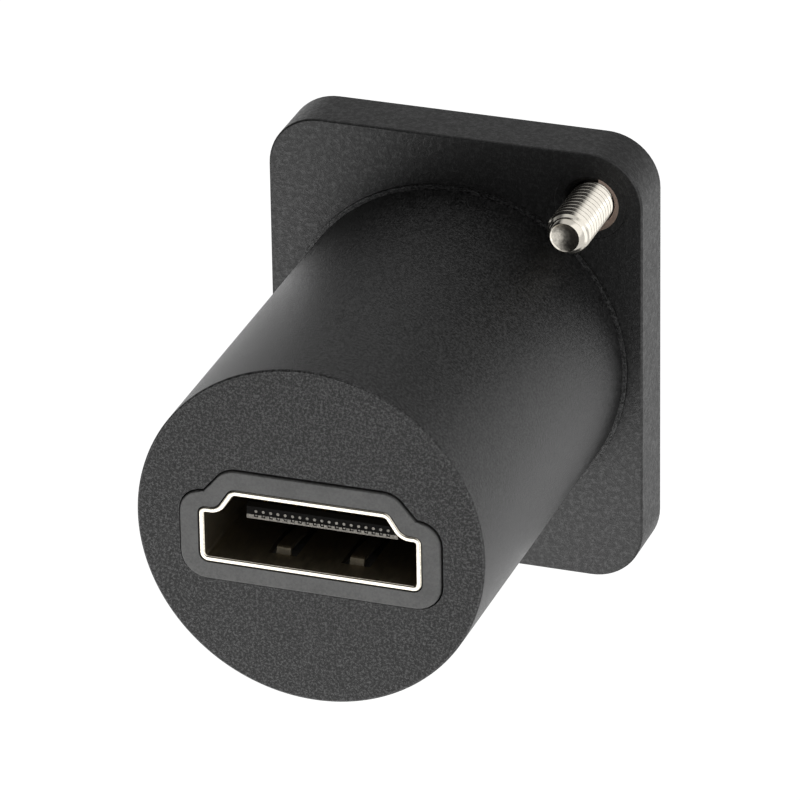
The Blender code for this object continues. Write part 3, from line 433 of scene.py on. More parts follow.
def plug_block(name, plug, y_range, segments=6):
    """A block along Y with stepped shoulders: a box with its upper corners moved down and all rounded."""
    obj = box(name, plug.half_width, y_range, (plug.bottom, plug.top))
    with editing(obj):
        for x in (-plug.neck_half, -plug.top_half, plug.top_half, plug.neck_half):
            bpy.ops.mesh.select_all(action="SELECT")
            bpy.ops.mesh.bisect(plane_co=(x, 0, 0), plane_no=(1, 0, 0), threshold=WELD)
        outer = plug.neck_half - NEAR
        pick(obj, "VERT", lambda vert: vert.co.z > plug.top - NEAR and abs(vert.co.x) > outer)
        bpy.ops.transform.translate(value=(0, 0, plug.shoulder - plug.top))
        bpy.ops.mesh.select_all(action="SELECT")
        bpy.ops.mesh.dissolve_limited(angle_limit=math.radians(1))
        slope = math.atan2(plug.top - plug.shoulder, plug.neck_half - plug.top_half)
        corners = (
            (plug.half_width, plug.bottom, math.pi / 2),
            (plug.half_width, plug.shoulder, math.pi / 2),
            (plug.neck_half, plug.shoulder, slope),
            (plug.top_half, plug.top, slope),
        )
        for (x, z, turn), radius in zip(corners, plug.rounds):
            pick(obj, "EDGE", lambda edge: along(edge, 1) and all(
                abs(abs(vert.co.x) - x) < NEAR and abs(vert.co.z - z) < NEAR for vert in edge.verts
            ))
            bpy.ops.mesh.bevel(offset=radius * math.tan(turn / 2), segments=segments, affect="EDGES")
    return obj


def rounded_box(name, half_width, y_range, z_range, radius, segments=8):
    """A box whose four edges along Y are rounded."""
    obj = box(name, half_width, y_range, z_range)
    round_edges(obj, radius, segments, lambda edge: along(edge, 1))
    return obj


def tube(obj, y_range, sheet):
    """Opens a block at both ends and gives its sides the thickness of a sheet, inward."""
    with editing(obj):
        pick(obj, "FACE", lambda face: any(all_at(face, 1, y) for y in y_range))
        bpy.ops.mesh.delete(type="FACE")
    apply(obj, "SOLIDIFY", thickness=sheet, offset=-1.0, use_even_offset=True)


def spread(obj, places):
    """Copies a shape that stands in the middle to several places along X."""
    with editing(obj):
        bpy.ops.mesh.select_all(action="SELECT")
        bpy.ops.transform.translate(value=(places[0], 0, 0))
        for here, there in zip(places, places[1:]):
            bpy.ops.mesh.duplicate_move(TRANSFORM_OT_translate={"value": (there - here, 0, 0)})
    return obj


def comb(name, places, width, y_range, z_range):
    """Like boxes side by side along X."""
    return spread(box(name, width / 2, y_range, z_range), places)


def centred(count, pitch):
    return [(i - (count - 1) / 2) * pitch for i in range(count)]


def strip(name, path, x, width, sheet):
    """A bent strip: the (y, z) line of its side view, drawn across its width and thickened."""
    obj = draw_line(name, [(x - width / 2, y, z) for y, z in path])
    with editing(obj):
        bpy.ops.mesh.select_all(action="SELECT")
        bpy.ops.mesh.extrude_region_move(TRANSFORM_OT_translate={"value": (width, 0, 0)})
    apply(obj, "SOLIDIFY", thickness=sheet, offset=0.0, use_even_offset=True)
    with editing(obj):
        bpy.ops.mesh.select_all(action="SELECT")
        bpy.ops.mesh.normals_make_consistent(inside=False)
    return obj


def dress(obj, looks, node):
    """A finished piece: smooth up to its edges, with its materials, its body and the node it stands for."""
    only(obj)
    bpy.ops.object.shade_smooth_by_angle(angle=SMOOTH_UP_TO)
    apply(obj, "WEIGHTED_NORMAL", keep_sharp=True)
    obj.data.materials.clear()
    for look in looks:
        obj.data.materials.append(look)
    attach(obj, BODY)
    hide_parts(node)


def paint(obj, *tests):
    """Gives a piece's second material to the faces that pass the first test, and so on."""
    with editing(obj):
        for index, test in enumerate(tests, 1):
            pick(obj, "FACE", test)
            obj.active_material_index = index
            bpy.ops.object.material_slot_assign()


def fill(tree, node, inputs):
    """Gives each input that is named its value or its link."""
    for key, value in inputs.items():
        if isinstance(value, bpy.types.NodeSocket):
            tree.links.new(value, node.inputs[key])
        else:
            node.inputs[key].default_value = value


def add(tree, kind, inputs=None, **settings):
    """Adds a node with its settings, and with values or links for its inputs."""
    made = tree.nodes.new(kind)
    for key, value in settings.items():
        setattr(made, key, value)
    fill(tree, made, inputs or {})
    return made


def shades(base, *shares):
    """A colour made lighter or darker, once for each share."""
    return [tuple(min(1.0, c * share) for c in base) for share in shares]


def grained(name, width, tones, sockets, tone_span=(0.0, 1.0), bump=None, detail=3.0, fading=0.6, stretch=1.0):
    """A material that follows one noise, whose grains are as wide as a real size.

    Its colour goes from one tone to the other over a span of the noise. Each socket is given one number,
    or four: such a span, and the socket's values at both its ends. A bump is a depth and a strength. A
    stretch below 1 draws the grains out along Y.
    """
    material = bpy.data.materials.new(name)
    material.use_nodes = True
    tree = material.node_tree
    shader = tree.nodes["Principled BSDF"]
    place = add(tree, "ShaderNodeTexCoord").outputs["Object"]
    stretched = add(tree, "ShaderNodeMapping", {"Vector": place, "Scale": (1.0, stretch, 1.0)})
    grains = add(tree, "ShaderNodeTexNoise", {
        "Vector": stretched.outputs["Vector"], "Scale": 1 / width, "Detail": detail, "Roughness": fading,
    }).outputs["Fac"]
    tone = add(tree, "ShaderNodeMapRange", {
        "Value": grains, "From Min": tone_span[0], "From Max": tone_span[1],
    })
    first, second = ((*each, 1.0) for each in tones)
    tint = add(tree, "ShaderNodeMix", {0: tone.outputs["Result"], 6: first, 7: second}, data_type="RGBA")
    inputs = {"Base Color": tint.outputs[2]}
    for socket, value in sockets.items():
        if isinstance(value, tuple):
            span = dict(zip(("From Min", "From Max", "To Min", "To Max"), value))
            value = add(tree, "ShaderNodeMapRange", {"Value": grains, **span}).outputs["Result"]
        inputs[socket] = value
    if bump:
        inputs["Normal"] = add(tree, "ShaderNodeBump", {
            "Height": grains, "Distance": bump[0], "Strength": bump[1],
        }).outputs["Normal"]
    fill(tree, shader, inputs)
    return Finish(material, tree, shader, place, grains, tone)


# Grains narrower than about 0.1 mm wouldn't show in the picture, so where the real ones are finer, as on
# the moulded and plated pieces, they are drawn as coarse as they need to be.


def spark_eroded_polyamide(settings, name, grain, gloss, tints):
    """Glass-filled polyamide from a spark-eroded mould: near black, matt, with a coarse grain that glints."""
    return grained(
        f"spark_eroded_polyamide_{name}", 2 * grain, shades(settings.black, *tints),
        {"Roughness": (0.35, 0.65, 0.50, 0.38), "Specular IOR Level": (*GLINTS, *gloss)},
        tone_span=GLINTS, bump=(0.04 * MM, 0.8), fading=0.9,
    ).material


def satin_polyamide(settings):
    """The same polyamide from a blasted mould wall: near black and satin, with a fine even grain."""
    return grained(
        "satin_polyamide", 0.18 * MM, shades(settings.black, 0.5, 6.0),
        {"Roughness": (0.42, 0.58, 0.28, 0.44), "Specular IOR Level": (0.42, 0.58, 0.30, 0.78)},
        tone_span=(0.50, 0.60), bump=(0.05 * MM, 1.0), fading=0.9,
    ).material


def painted_reflection_polyamide(settings):
    """Painted reflection on one side of a screw hole's taper: the lit screw mirrored in the polyamide, brownish
    grey and glossy.
    """
    return grained("painted_reflection_polyamide", 0.15 * MM, shades(settings.painted_reflection, 0.7, 1.3),
                   {"Roughness": (*MOST, 0.30, 0.45)}).material


def moulded_insert_plastic(settings):
    """Unfilled polyester moulded in a finely blasted tool: mid grey and matt, with faint flow marks."""
    made = grained("moulded_insert_plastic", 0.16 * MM, shades(settings.grey, 0.7, 1.3),
                   {"Roughness": (*MOST, 0.46, 0.58)}, tone_span=(1.2, 1.8), bump=(0.006 * MM, 0.5))
    flow = add(made.tree, "ShaderNodeTexNoise", {
        "Vector": made.place, "Scale": 1 / (1.5 * MM), "Detail": 2.0, "Roughness": 0.6,
    }).outputs["Fac"]
    both = add(made.tree, "ShaderNodeMath", {0: made.grains, 1: 2.0, 2: flow}, operation="MULTIPLY_ADD")
    fill(made.tree, made.tone, {"Value": both.outputs[0]})
    return made.material


def drawn_nickel_sheet(settings):
    """Copper alloy sheet, drawn and nickel plated: warm and bright, with fine draw lines along its depth."""
    made = grained("drawn_nickel_sheet", 0.25 * MM, shades(settings.nickel, 0.72, 1.12),
                   {"Roughness": (*MOST, 0.12, 0.20), "Metallic": 1.0}, tone_span=PATCHES,
                   bump=(0.002 * MM, 0.3), detail=2.0, stretch=0.3)
    spots = add(made.tree, "ShaderNodeTexNoise", {
        "Vector": made.place, "Scale": 1 / (0.12 * MM), "Detail": 3.0, "Roughness": 0.6,
    })
    fill(made.tree, made.tone, {"Value": spots.outputs["Fac"]})
    return made.material


def dragged_and_shaded_nickel_wall(settings):
    """Inside of the drawn shell, dragged by the punch: nickel and dull, with long draw marks, and darker than
    the outside as painted shade inside the shell.
    """
    return grained("dragged_and_shaded_nickel_wall", 0.2 * MM, shades(settings.wall, 0.7, 1.3),
                   {"Roughness": (*MOST, 0.38, 0.50), "Metallic": 1.0}, stretch=0.2).material


def plated_rolled_steel(settings):
    """Cold-headed steel with a rolled thread, nickel plated: bright, uneven where the plating pooled."""
    return grained("plated_rolled_steel", 0.25 * MM, shades(settings.steel, 0.90, 1.08),
                   {"Roughness": (*MOST, 0.14, 0.22), "Metallic": 1.0}, bump=(0.002 * MM, 0.3)).material


def darker_steel_cup(settings):
    """The cup in the screw's end: the same steel, darker and duller, with a coarser bump."""
    return grained("darker_steel_cup", 0.2 * MM, shades(settings.steel, 0.40, 0.75),
                   {"Roughness": (*MOST, 0.30, 0.42), "Metallic": 1.0}, tone_span=PATCHES,
                   bump=(0.02 * MM, 0.6)).material


def filled_connector_plastic(settings):
    """Glass-filled liquid-crystal polymer: black and matt, with short flow streaks from the gate."""
    return grained("filled_connector_plastic", 0.10 * MM, shades(settings.plastic, 0.75, 1.2),
                   {"Roughness": (*MOST, 0.50, 0.66), "Specular IOR Level": 0.08},
                   bump=(0.005 * MM, 0.5), stretch=0.25).material


def cut_sheet_edge(settings):
    """Sheared edge of tinned bronze sheet and the contacts' cut ends: pale, uneven from the shear."""
    return grained("cut_sheet_edge", 0.12 * MM, shades(settings.cut_edge, 0.5, 1.4),
                   {"Roughness": (*MOST, 0.35, 0.55)}, tone_span=PATCHES, bump=(0.008 * MM, 0.5)).material


def gold_plated_bronze():
    """Phosphor bronze, stamped and gold plated: deep yellow, with faint lines from the strip's rolling."""
    return grained("gold_plated_bronze", 0.05 * MM, (linear("D9AC58"), linear("EBC678")),
                   {"Roughness": (*MOST, 0.20, 0.30), "Metallic": 1.0}, detail=2.0, stretch=0.08).material


def solder_resist():
    """Glass-epoxy laminate under green solder resist: glossy, with the weave showing faintly through."""
    made = grained("solder_resist", 1.2 * MM, (linear("0E3B22"), linear("1B5A36")),
                   {"Roughness": (*MOST, 0.22, 0.34)}, tone_span=(0.2, 1.0), detail=2.0)
    weave = add(made.tree, "ShaderNodeTexChecker", {"Vector": made.place, "Scale": 1 / (0.4 * MM)})
    both = add(made.tree, "ShaderNodeMath", {0: weave.outputs["Fac"], 1: 0.3, 2: made.grains},
               operation="MULTIPLY_ADD")
    fill(made.tree, made.tone, {"Value": both.outputs[0]})
    return made.material


def moulded_epoxy():
    """Transfer-moulded epoxy of a chip package: black and matt, blasted to a fine even grain."""
    return grained("moulded_epoxy", 0.08 * MM, (linear("161617"), linear("2A2A2C")),
                   {"Roughness": (*MOST, 0.5, 0.64)}).material


def drawn_crystal_can():
    """Deep-drawn nickel silver lid of a crystal: pale and bright, with a slight orange peel."""
    return grained("drawn_crystal_can", 0.3 * MM, (linear("B9B6AE"), linear("D3D0C8")),
                   {"Roughness": (*MOST, 0.22, 0.34), "Metallic": 1.0}, detail=2.0).material


def fired_ceramic(node):
    """Fired multilayer ceramic of a capacitor: tan and matt in the middle, with tinned ends."""
    low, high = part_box(node)
    body_half = (high.x - low.x) / 2 - TINNED_END
    blur = 0.02 * MM
    made = grained(f"fired_ceramic_{node}", 0.1 * MM, (linear("8C7358"), linear("C4C2BC")),
                   {"Roughness": (*MOST, 0.32, 0.5)}, tone_span=(body_half - blur, body_half + blur),
                   detail=2.0)
    centre = add(made.tree, "ShaderNodeMapping", {"Vector": made.place, "Location": -(low + high) / 2})
    across = add(made.tree, "ShaderNodeSeparateXYZ", {0: centre.outputs["Vector"]}).outputs["X"]
    away = add(made.tree, "ShaderNodeMath", {0: across}, operation="ABSOLUTE").outputs[0]
    fill(made.tree, made.tone, {"Value": away})
    fill(made.tree, made.shader, {"Metallic": made.tone.outputs["Result"]})
    return made.material


def studio_floor(white):
    """Seamless paper: pale and matt. It shows plain white to the camera and in reflections."""
    made = bpy.data.materials.new("studio_paper")
    made.use_nodes = True
    tree = made.node_tree
    tree.nodes.clear()
    paper = add(tree, "ShaderNodeBsdfDiffuse", {"Color": (*shades(white, 0.8)[0], 1.0)}).outputs[0]
    lift = add(tree, "ShaderNodeEmission", {"Color": (*white, 1.0), "Strength": 0.85}).outputs[0]
    lifted = add(tree, "ShaderNodeAddShader", {0: paper, 1: lift}).outputs[0]
    plain = add(tree, "ShaderNodeEmission", {"Color": (*white, 1.0), "Strength": 1.0}).outputs[0]
    path = add(tree, "ShaderNodeLightPath").outputs
    seen = add(tree, "ShaderNodeMixShader", {0: path["Is Camera Ray"], 1: paper, 2: lifted}).outputs[0]
    mirrored = add(tree, "ShaderNodeMath", {0: path["Is Glossy Ray"], 1: path["Is Transmission Ray"]},
                   operation="MAXIMUM").outputs[0]
    out = add(tree, "ShaderNodeMixShader", {0: mirrored, 1: seen, 2: plain}).outputs[0]
    add(tree, "ShaderNodeOutputMaterial", {"Surface": out})
    return made


def studio_world(white):
    """White to the camera and even for the light it gives.

    In reflections the room in front is dark, most of all to the left, with a white backdrop behind the
    adapter that fades upwards, a white card above its right, white paper below and a pale ceiling.
    """
    world = bpy.data.worlds.new("studio")
    bpy.context.scene.world = world
    world.use_nodes = True
    tree = world.node_tree
    tree.nodes.clear()
    path = add(tree, "ShaderNodeLightPath").outputs
    direction = add(tree, "ShaderNodeTexCoord").outputs["Generated"]
    parts = add(tree, "ShaderNodeSeparateXYZ", {0: direction}).outputs
    towards = add(tree, "ShaderNodeVectorMath", {0: direction, 1: CARD_DIRECTION}, operation="DOT_PRODUCT")
    mirrored, card, paper, ceiling, backdrop, fading = (
        add(tree, "ShaderNodeMapRange", {
            "Value": value, "From Min": low, "From Max": high, "To Min": first, "To Max": second,
        }).outputs["Result"]
        for value, low, high, first, second in (
            (parts["X"], -0.6, -0.2, 0.01, 0.04),
            (towards.outputs["Value"], 0.62, 0.80, 0.0, CARD_STRENGTH),
            (parts["Z"], -0.05, 0.05, 1.0, 0.0),
            (parts["Z"], 0.70, 0.90, 0.0, 0.9),
            (parts["Y"], 0.10, 0.40, 0.0, 1.0),
            (parts["Z"], 0.0, 0.45, 0.85, 0.36),
        )
    )
    backdrop = add(tree, "ShaderNodeMath", {0: backdrop, 1: fading}, operation="MULTIPLY").outputs[0]
    for other in (backdrop, card, paper, ceiling):
        mirrored = add(tree, "ShaderNodeMath", {0: mirrored, 1: other}, operation="MAXIMUM").outputs[0]
    even = add(tree, "ShaderNodeMix", {
        "Factor": path["Is Glossy Ray"], "A": EVEN_LIGHT, "B": mirrored,
    }).outputs[0]
    seen = add(tree, "ShaderNodeMath", {0: path["Is Camera Ray"], 1: path["Is Transmission Ray"]},
               operation="MAXIMUM").outputs[0]
    strength = add(tree, "ShaderNodeMix", {"Factor": seen, "A": even, "B": 1.0}).outputs[0]
    light = add(tree, "ShaderNodeBackground", {"Color": (*white, 1.0), "Strength": strength}).outputs[0]
    add(tree, "ShaderNodeOutputWorld", {"Surface": light})


def soft_lamp(name, toward, distance, width, radiance):
    """A square soft box that faces the adapter from a direction."""
    toward = Vector(toward).normalized()
    bpy.ops.object.select_all(action="DESELECT")
    bpy.ops.object.light_add(type="AREA", location=toward * distance)
    lamp = bpy.context.active_object
    lamp.name = name
    lamp.rotation_mode = "QUATERNION"
    lamp.rotation_quaternion = toward.to_track_quat("Z", "Y")
    lamp.data.size = width
    lamp.data.energy = 4 * radiance * width ** 2


def shell_outline(settings):
    """Outline of the barrel socket's shell, outside."""
    rounds = (settings.bottom_round, settings.shoulder_round, settings.neck_round, settings.top_round)
    return Plug(BARREL_SHELL_HIGH.x, BARREL_SHELL_LOW.z, settings.shoulder, BARREL_SHELL_HIGH.z,
                settings.neck_half, settings.top_half, rounds)


def nose_outline(carrier, socket):
    """Outline of the insert's nose, set off from the shell's."""
    shell = shell_outline(socket)
    return Plug(
        shell.half_width + carrier.nose_side,
        shell.bottom - carrier.nose_below,
        shell.shoulder + carrier.nose_above_shoulder,
        shell.top + carrier.nose_above,
        shell.neck_half + carrier.nose_beside_neck,
        shell.top_half + carrier.nose_beside_top,
        (carrier.bottom_round, carrier.shoulder_round, carrier.neck_round, carrier.top_round),
    )


def screw_hole(settings, screw, side):
    """Cutter for one flange hole: countersunk at the front, with a shallow mouth at the back."""
    head = screw.head / 2 + FIT
    hole = settings.screw_hole / 2
    neck = settings.hole_neck / 2
    cone_top = SCREW_HIGH.y - screw.head_rim
    mouth = settings.hole_mouth / 2
    profile = [
        (0, FRONT_Y + OVERSHOOT),
        (head + settings.seat_chamfer + OVERSHOOT, FRONT_Y + OVERSHOOT),
        (head, FRONT_Y - settings.seat_chamfer),
        (head, cone_top),
        (neck, cone_top - (head - neck)),
        (neck, settings.hole_taper),
        (hole, settings.mouth_depth),
        (mouth - settings.mouth_depth, settings.mouth_depth),
        (mouth + OVERSHOOT, -OVERSHOOT),
        (0, -OVERSHOOT),
    ]
    cutter = turned(f"hole_{side}", profile, SMALL_SEGMENTS)
    return moved(cutter, side * SCREW_PLACE.x, side * SCREW_PLACE.z)


def build_housing(settings, carrier, socket, screw):
    obj = rounded_box("housing_moulding", HOUSING_HIGH.x, (0, FRONT_Y), (HOUSING_LOW.z, HOUSING_HIGH.z),
                      settings.flange_corner, 14)
    round_edges(obj, settings.flange_edge, 4, lambda edge: all_at(edge, 1, 0) or all_at(edge, 1, FRONT_Y))
    radius = settings.barrel_diameter / 2
    root = radius + settings.step_width
    barrel = turned("barrel", [
        (0, FRONT_Y / 2),
        (root, FRONT_Y / 2),
        (root, -settings.step_height),
        (radius, -settings.step_height),
        (radius, END_Y),
        (0, END_Y),
    ])
    round_rim(barrel, radius, END_Y, settings.barrel_edge)
    seat = BEZEL_HIGH.x + FIT
    ledge = FRONT_Y - carrier.bezel_thickness
    wall = END_Y + settings.end_wall
    bore = turned("bore", [
        (0, FRONT_Y + OVERSHOOT),
        (seat + settings.seat_chamfer + OVERSHOOT, FRONT_Y + OVERSHOOT),
        (seat, FRONT_Y - settings.seat_chamfer),
        (seat, ledge),
        (BORE_RADIUS, ledge),
        (BORE_RADIUS, wall),
        (0, wall),
    ])
    mouth = plug_block("mouth", grown(nose_outline(carrier, socket), MOUTH_FIT),
                       (END_Y - OVERSHOOT, wall + OVERSHOOT))
    moved(mouth, *MOUTH_SHIFT)
    combine(obj, "UNION", barrel)
    combine(obj, "DIFFERENCE", bore, mouth, *(screw_hole(settings, screw, side) for side in (1, -1)))
    looks = (
        satin_polyamide(settings),
        spark_eroded_polyamide(settings, "end", settings.end_grain, (0.26, 0.50), (0.3, 6.0)),
        spark_eroded_polyamide(settings, "flange", settings.flange_grain, (0.42, 0.53), (1.0, 3.6)),
        painted_reflection_polyamide(settings),
    )
    dress(obj, looks, "housing")

    # Faces of a hole's taper on its outer side, which take the painted reflection of the screw
    def painted_reflection(face):
        centre = face.calc_center_median()
        side = math.copysign(1, centre.x)
        away = Vector((centre.x - side * SCREW_PLACE.x, centre.z - side * SCREW_PLACE.z))
        in_hole = away.length < settings.screw_hole / 2 and 0 < centre.y < settings.hole_taper
        return in_hole and side * away.x > PAINTED_REFLECTION_FROM

    paint(
        obj,
        lambda face: abs(face.normal.y) > 0.999 and all_at(face, 1, END_Y),
        lambda face: all(vert.co.y > -NEAR for vert in face.verts),
        painted_reflection,
    )


def build_carrier(settings, housing, socket):
    outline = shell_outline(socket)
    inner_face = END_Y + housing.end_wall + FIT + settings.wall
    radius = CARRIER_HIGH.x
    back = CARRIER_HIGH.y
    front = inner_face - settings.wall
    obj = turned("carrier_moulding", [(0, back), (radius, back), (radius, front), (0, front)])
    nose = plug_block("nose", nose_outline(settings, socket), (NOSE_Y, inner_face - settings.wall / 2))
    round_edges(nose, settings.nose_edge, 3, lambda edge: all_at(edge, 1, NOSE_Y))
    passage = plug_block("passage", grown(outline, SHEET_FIT), (NOSE_Y - OVERSHOOT, inner_face + OVERSHOOT))
    half = outline.half_width + settings.cavity_spare
    cavity = rounded_box("cavity", half, (inner_face, back + OVERSHOOT),
                         (outline.bottom - settings.headroom, outline.top + settings.headroom),
                         settings.cavity_corner)
    rails = box("rails", half + settings.rail, (inner_face + FIT, back + OVERSHOOT),
                (BOARD_LOW.z - FIT, BOARD_HIGH.z + FIT))
    combine(obj, "UNION", nose)
    combine(obj, "DIFFERENCE", passage, cavity, rails)
    dress(obj, [moulded_insert_plastic(settings)], "adapter_carrier")


def front_outline(name, settings, by, y_range):
    """A block along Y with the front socket's round-ended outline, moved outward by a distance."""
    middle = (FRONT_SHELL_LOW.z + FRONT_SHELL_HIGH.z) / 2
    half = settings.height / 2 + by
    return rounded_box(name, settings.width / 2 + by, y_range, (middle - half, middle + half), ROUND_END * half,
                       12)


def build_bezel(settings, socket):
    radius = BEZEL_HIGH.x
    back = FRONT_Y - settings.bezel_thickness + FIT
    obj = turned("bezel_moulding", [(0, FRONT_Y), (radius, FRONT_Y), (radius, back), (0, back)])
    round_rim(obj, radius, FRONT_Y, settings.bezel_edge)
    arm = (socket.width / 2 + STOP_FIT + BARREL_SHELL_HIGH.x + settings.cavity_spare) / 2
    for side in (1, -1):
        stop = cube(f"stop_{side}",
                    (side * arm - settings.stop_width, BEZEL_LOW.y, TONGUE_Z - settings.stop_height / 2),
                    (side * arm + settings.stop_width, FRONT_Y - settings.bezel_thickness / 2,
                     TONGUE_Z + settings.stop_height / 2))
        combine(obj, "UNION", stop)
    slot = front_outline("slot", socket, SHEET_FIT, (back - OVERSHOOT, FRONT_Y + OVERSHOOT))
    lead_in = front_outline("lead_in", socket, 0, (FRONT_Y - settings.lead_in, FRONT_Y + settings.lead_in))
    with editing(lead_in):
        pick(lead_in, "FACE", lambda face: all_at(face, 1, FRONT_Y + settings.lead_in))
        flare = 2 * settings.lead_in
        bpy.ops.transform.resize(value=(1 + flare / (socket.width / 2), 1, 1 + flare / (socket.height / 2)),
                                 center_override=(0, FRONT_Y, TONGUE_Z))
    combine(obj, "DIFFERENCE", slot, lead_in)
    dress(obj, [bpy.data.materials["moulded_insert_plastic"]], "front_bezel")


def finger_path(settings, level, inward):
    """Side view of a spring finger, from its root in the shell's wall to its tip."""
    start_y = NOSE_Y + settings.finger_start
    middle = level + inward * settings.sheet / 2
    return [(start_y + settings.finger_length + settings.sheet, middle)] + [
        (start_y + reach * settings.finger_length, middle + inward * rise * settings.finger_rise)
        for reach, rise in FINGER_BENDS
    ]


def build_barrel_shell(settings):
    outline = shell_outline(settings)
    back = BARREL_SHELL_HIGH.y - settings.tab_length
    obj = plug_block("barrel_socket_shell", outline, (NOSE_Y, back), 8)
    tube(obj, (NOSE_Y, back), settings.sheet)
    round_edges(obj, settings.rim, 3, lambda edge: all_at(edge, 1, NOSE_Y) and len(edge.link_faces) == 2 and (
        edge.calc_face_angle(0) > SHARP_FROM
    ))
    start_y = NOSE_Y + settings.finger_start
    root = start_y + settings.finger_length
    places = (-settings.finger_x, settings.finger_x)
    for level, inward in ((outline.bottom, 1), (outline.top, -1)):
        z_range = sorted((level - inward * settings.sheet, level + inward * 2 * settings.sheet))
        width = settings.finger_width + 2 * settings.finger_slot
        windows = comb("windows", places, width, (start_y - settings.finger_slot / 2, root), z_range)
        combine(obj, "DIFFERENCE", windows)
        for x in places:
            finger = strip("finger", finger_path(settings, level, inward), x, settings.finger_width,
                           settings.finger_sheet)
            combine(obj, "UNION", finger)
    for side in (1, -1):
        x_range = sorted((side * (outline.half_width - settings.sheet), side * outline.half_width))
        tab = cube("tab", (x_range[0], back - settings.sheet, TONGUE_Z - settings.tab_height / 2),
                   (x_range[1], BARREL_SHELL_HIGH.y, TONGUE_Z + settings.tab_height / 2))
        combine(obj, "UNION", tab)
    dress(obj, [drawn_nickel_sheet(settings), dragged_and_shaded_nickel_wall(settings)], "hdmi_shell")
    # The inside takes the darker wall colour, painted shade
    inside = NOSE_Y + settings.rim - NEAR
    paint(obj, lambda face: all(vert.co.y > inside for vert in face.verts))


def build_barrel_block(settings):
    front = BARREL_BLOCK_LOW.y
    block_front = NOSE_Y + settings.block_start
    back = BARREL_BLOCK_HIGH.y
    obj = plug_block("barrel_socket_block", grown(shell_outline(settings), -settings.sheet - SHEET_FIT),
                     (block_front, back))
    half = settings.tongue_thickness / 2
    tongue = box("tongue", settings.tongue_width / 2, (front, (block_front + back) / 2),
                 (TONGUE_Z - half, TONGUE_Z + half))
    round_edges(tongue, settings.tongue_nose, 1, lambda edge: all_at(edge, 1, front) and (
        all_at(edge, 2, TONGUE_Z + half)
    ))
    combine(obj, "UNION", tongue)
    groove = settings.contact_width + 2 * CONTACT_FIT
    reach = settings.contact_sheet / 2 + CONTACT_FIT
    for count, side in ((settings.narrow_row, 1), (settings.wide_row, -1)):
        places = centred(count, settings.pitch)
        inner = TONGUE_Z + side * (settings.contact_level - reach)
        for y_range, far in (
            ((front + settings.contact_start - CONTACT_FIT, block_front), half + OVERSHOOT),
            ((block_front - CONTACT_FIT, back + OVERSHOOT), settings.contact_level + reach),
        ):
            grooves = comb("grooves", places, groove, y_range, sorted((inner, TONGUE_Z + side * far)))
            combine(obj, "DIFFERENCE", grooves)
    lower = TONGUE_Z - half
    strip_face = front - settings.strip_proud
    pin_face = strip_face - settings.strip_proud
    end_face = front + settings.strip_proud
    places = centred(settings.wide_row + settings.narrow_row, settings.pitch / 2)
    edge_strip = box("edge_strip", settings.tongue_width / 2, (strip_face, front + settings.pit_depth),
                     (lower, lower + settings.strip_height))
    pit_z = (lower + settings.strip_height - settings.pit_height, lower + settings.strip_height)
    pits = comb("pits", places, settings.pit_width, (front - OVERSHOOT, front + settings.pit_depth), pit_z)
    ends = comb("ends", places, settings.pit_width / 2, (end_face, front + 2 * settings.pit_depth),
                (pit_z[0] + settings.pit_height / 3, pit_z[1]))
    radius = settings.pin_diameter / 2
    pins = turned("pins", [
        (0, pin_face), (0.8 * radius, pin_face), (radius, strip_face), (radius, front + settings.pit_depth),
        (0, front + settings.pit_depth),
    ], 16)
    pins = spread(moved(pins, 0, TONGUE_Z), places)
    combine(obj, "UNION", edge_strip)
    combine(obj, "DIFFERENCE", pits)
    combine(obj, "UNION", ends, pins)
    looks = [filled_connector_plastic(settings), cut_sheet_edge(settings)]
    dress(obj, looks, "hdmi_insulator")
    paint(obj, lambda face: any(all_at(face, 1, y) for y in (strip_face, pin_face, end_face)))


def build_front_shell(settings):
    y_range = (FRONT_SHELL_LOW.y, FRONT_SHELL_HIGH.y)
    obj = front_outline("front_socket_shell", settings, 0, y_range)
    tube(obj, y_range, settings.sheet)
    round_edges(obj, settings.rim, 3, lambda edge: all_at(edge, 1, y_range[1]) and (
        edge.calc_face_angle(0) > SHARP_FROM
    ))
    base = BOARD_HIGH.z + SOLDER
    middle = FRONT_SHELL_LOW.y + settings.tab_length
    for side in (1, -1):
        x_range = sorted((side * (settings.width / 2 - settings.sheet), side * FRONT_SHELL_HIGH.x))
        tab = cube("tab", (x_range[0], middle - settings.tab_length / 2, base),
                   (x_range[1], middle + settings.tab_length / 2, base + settings.sheet))
        combine(obj, "UNION", tab)
    dress(obj, [bpy.data.materials["drawn_nickel_sheet"]], "usb_c_shell")


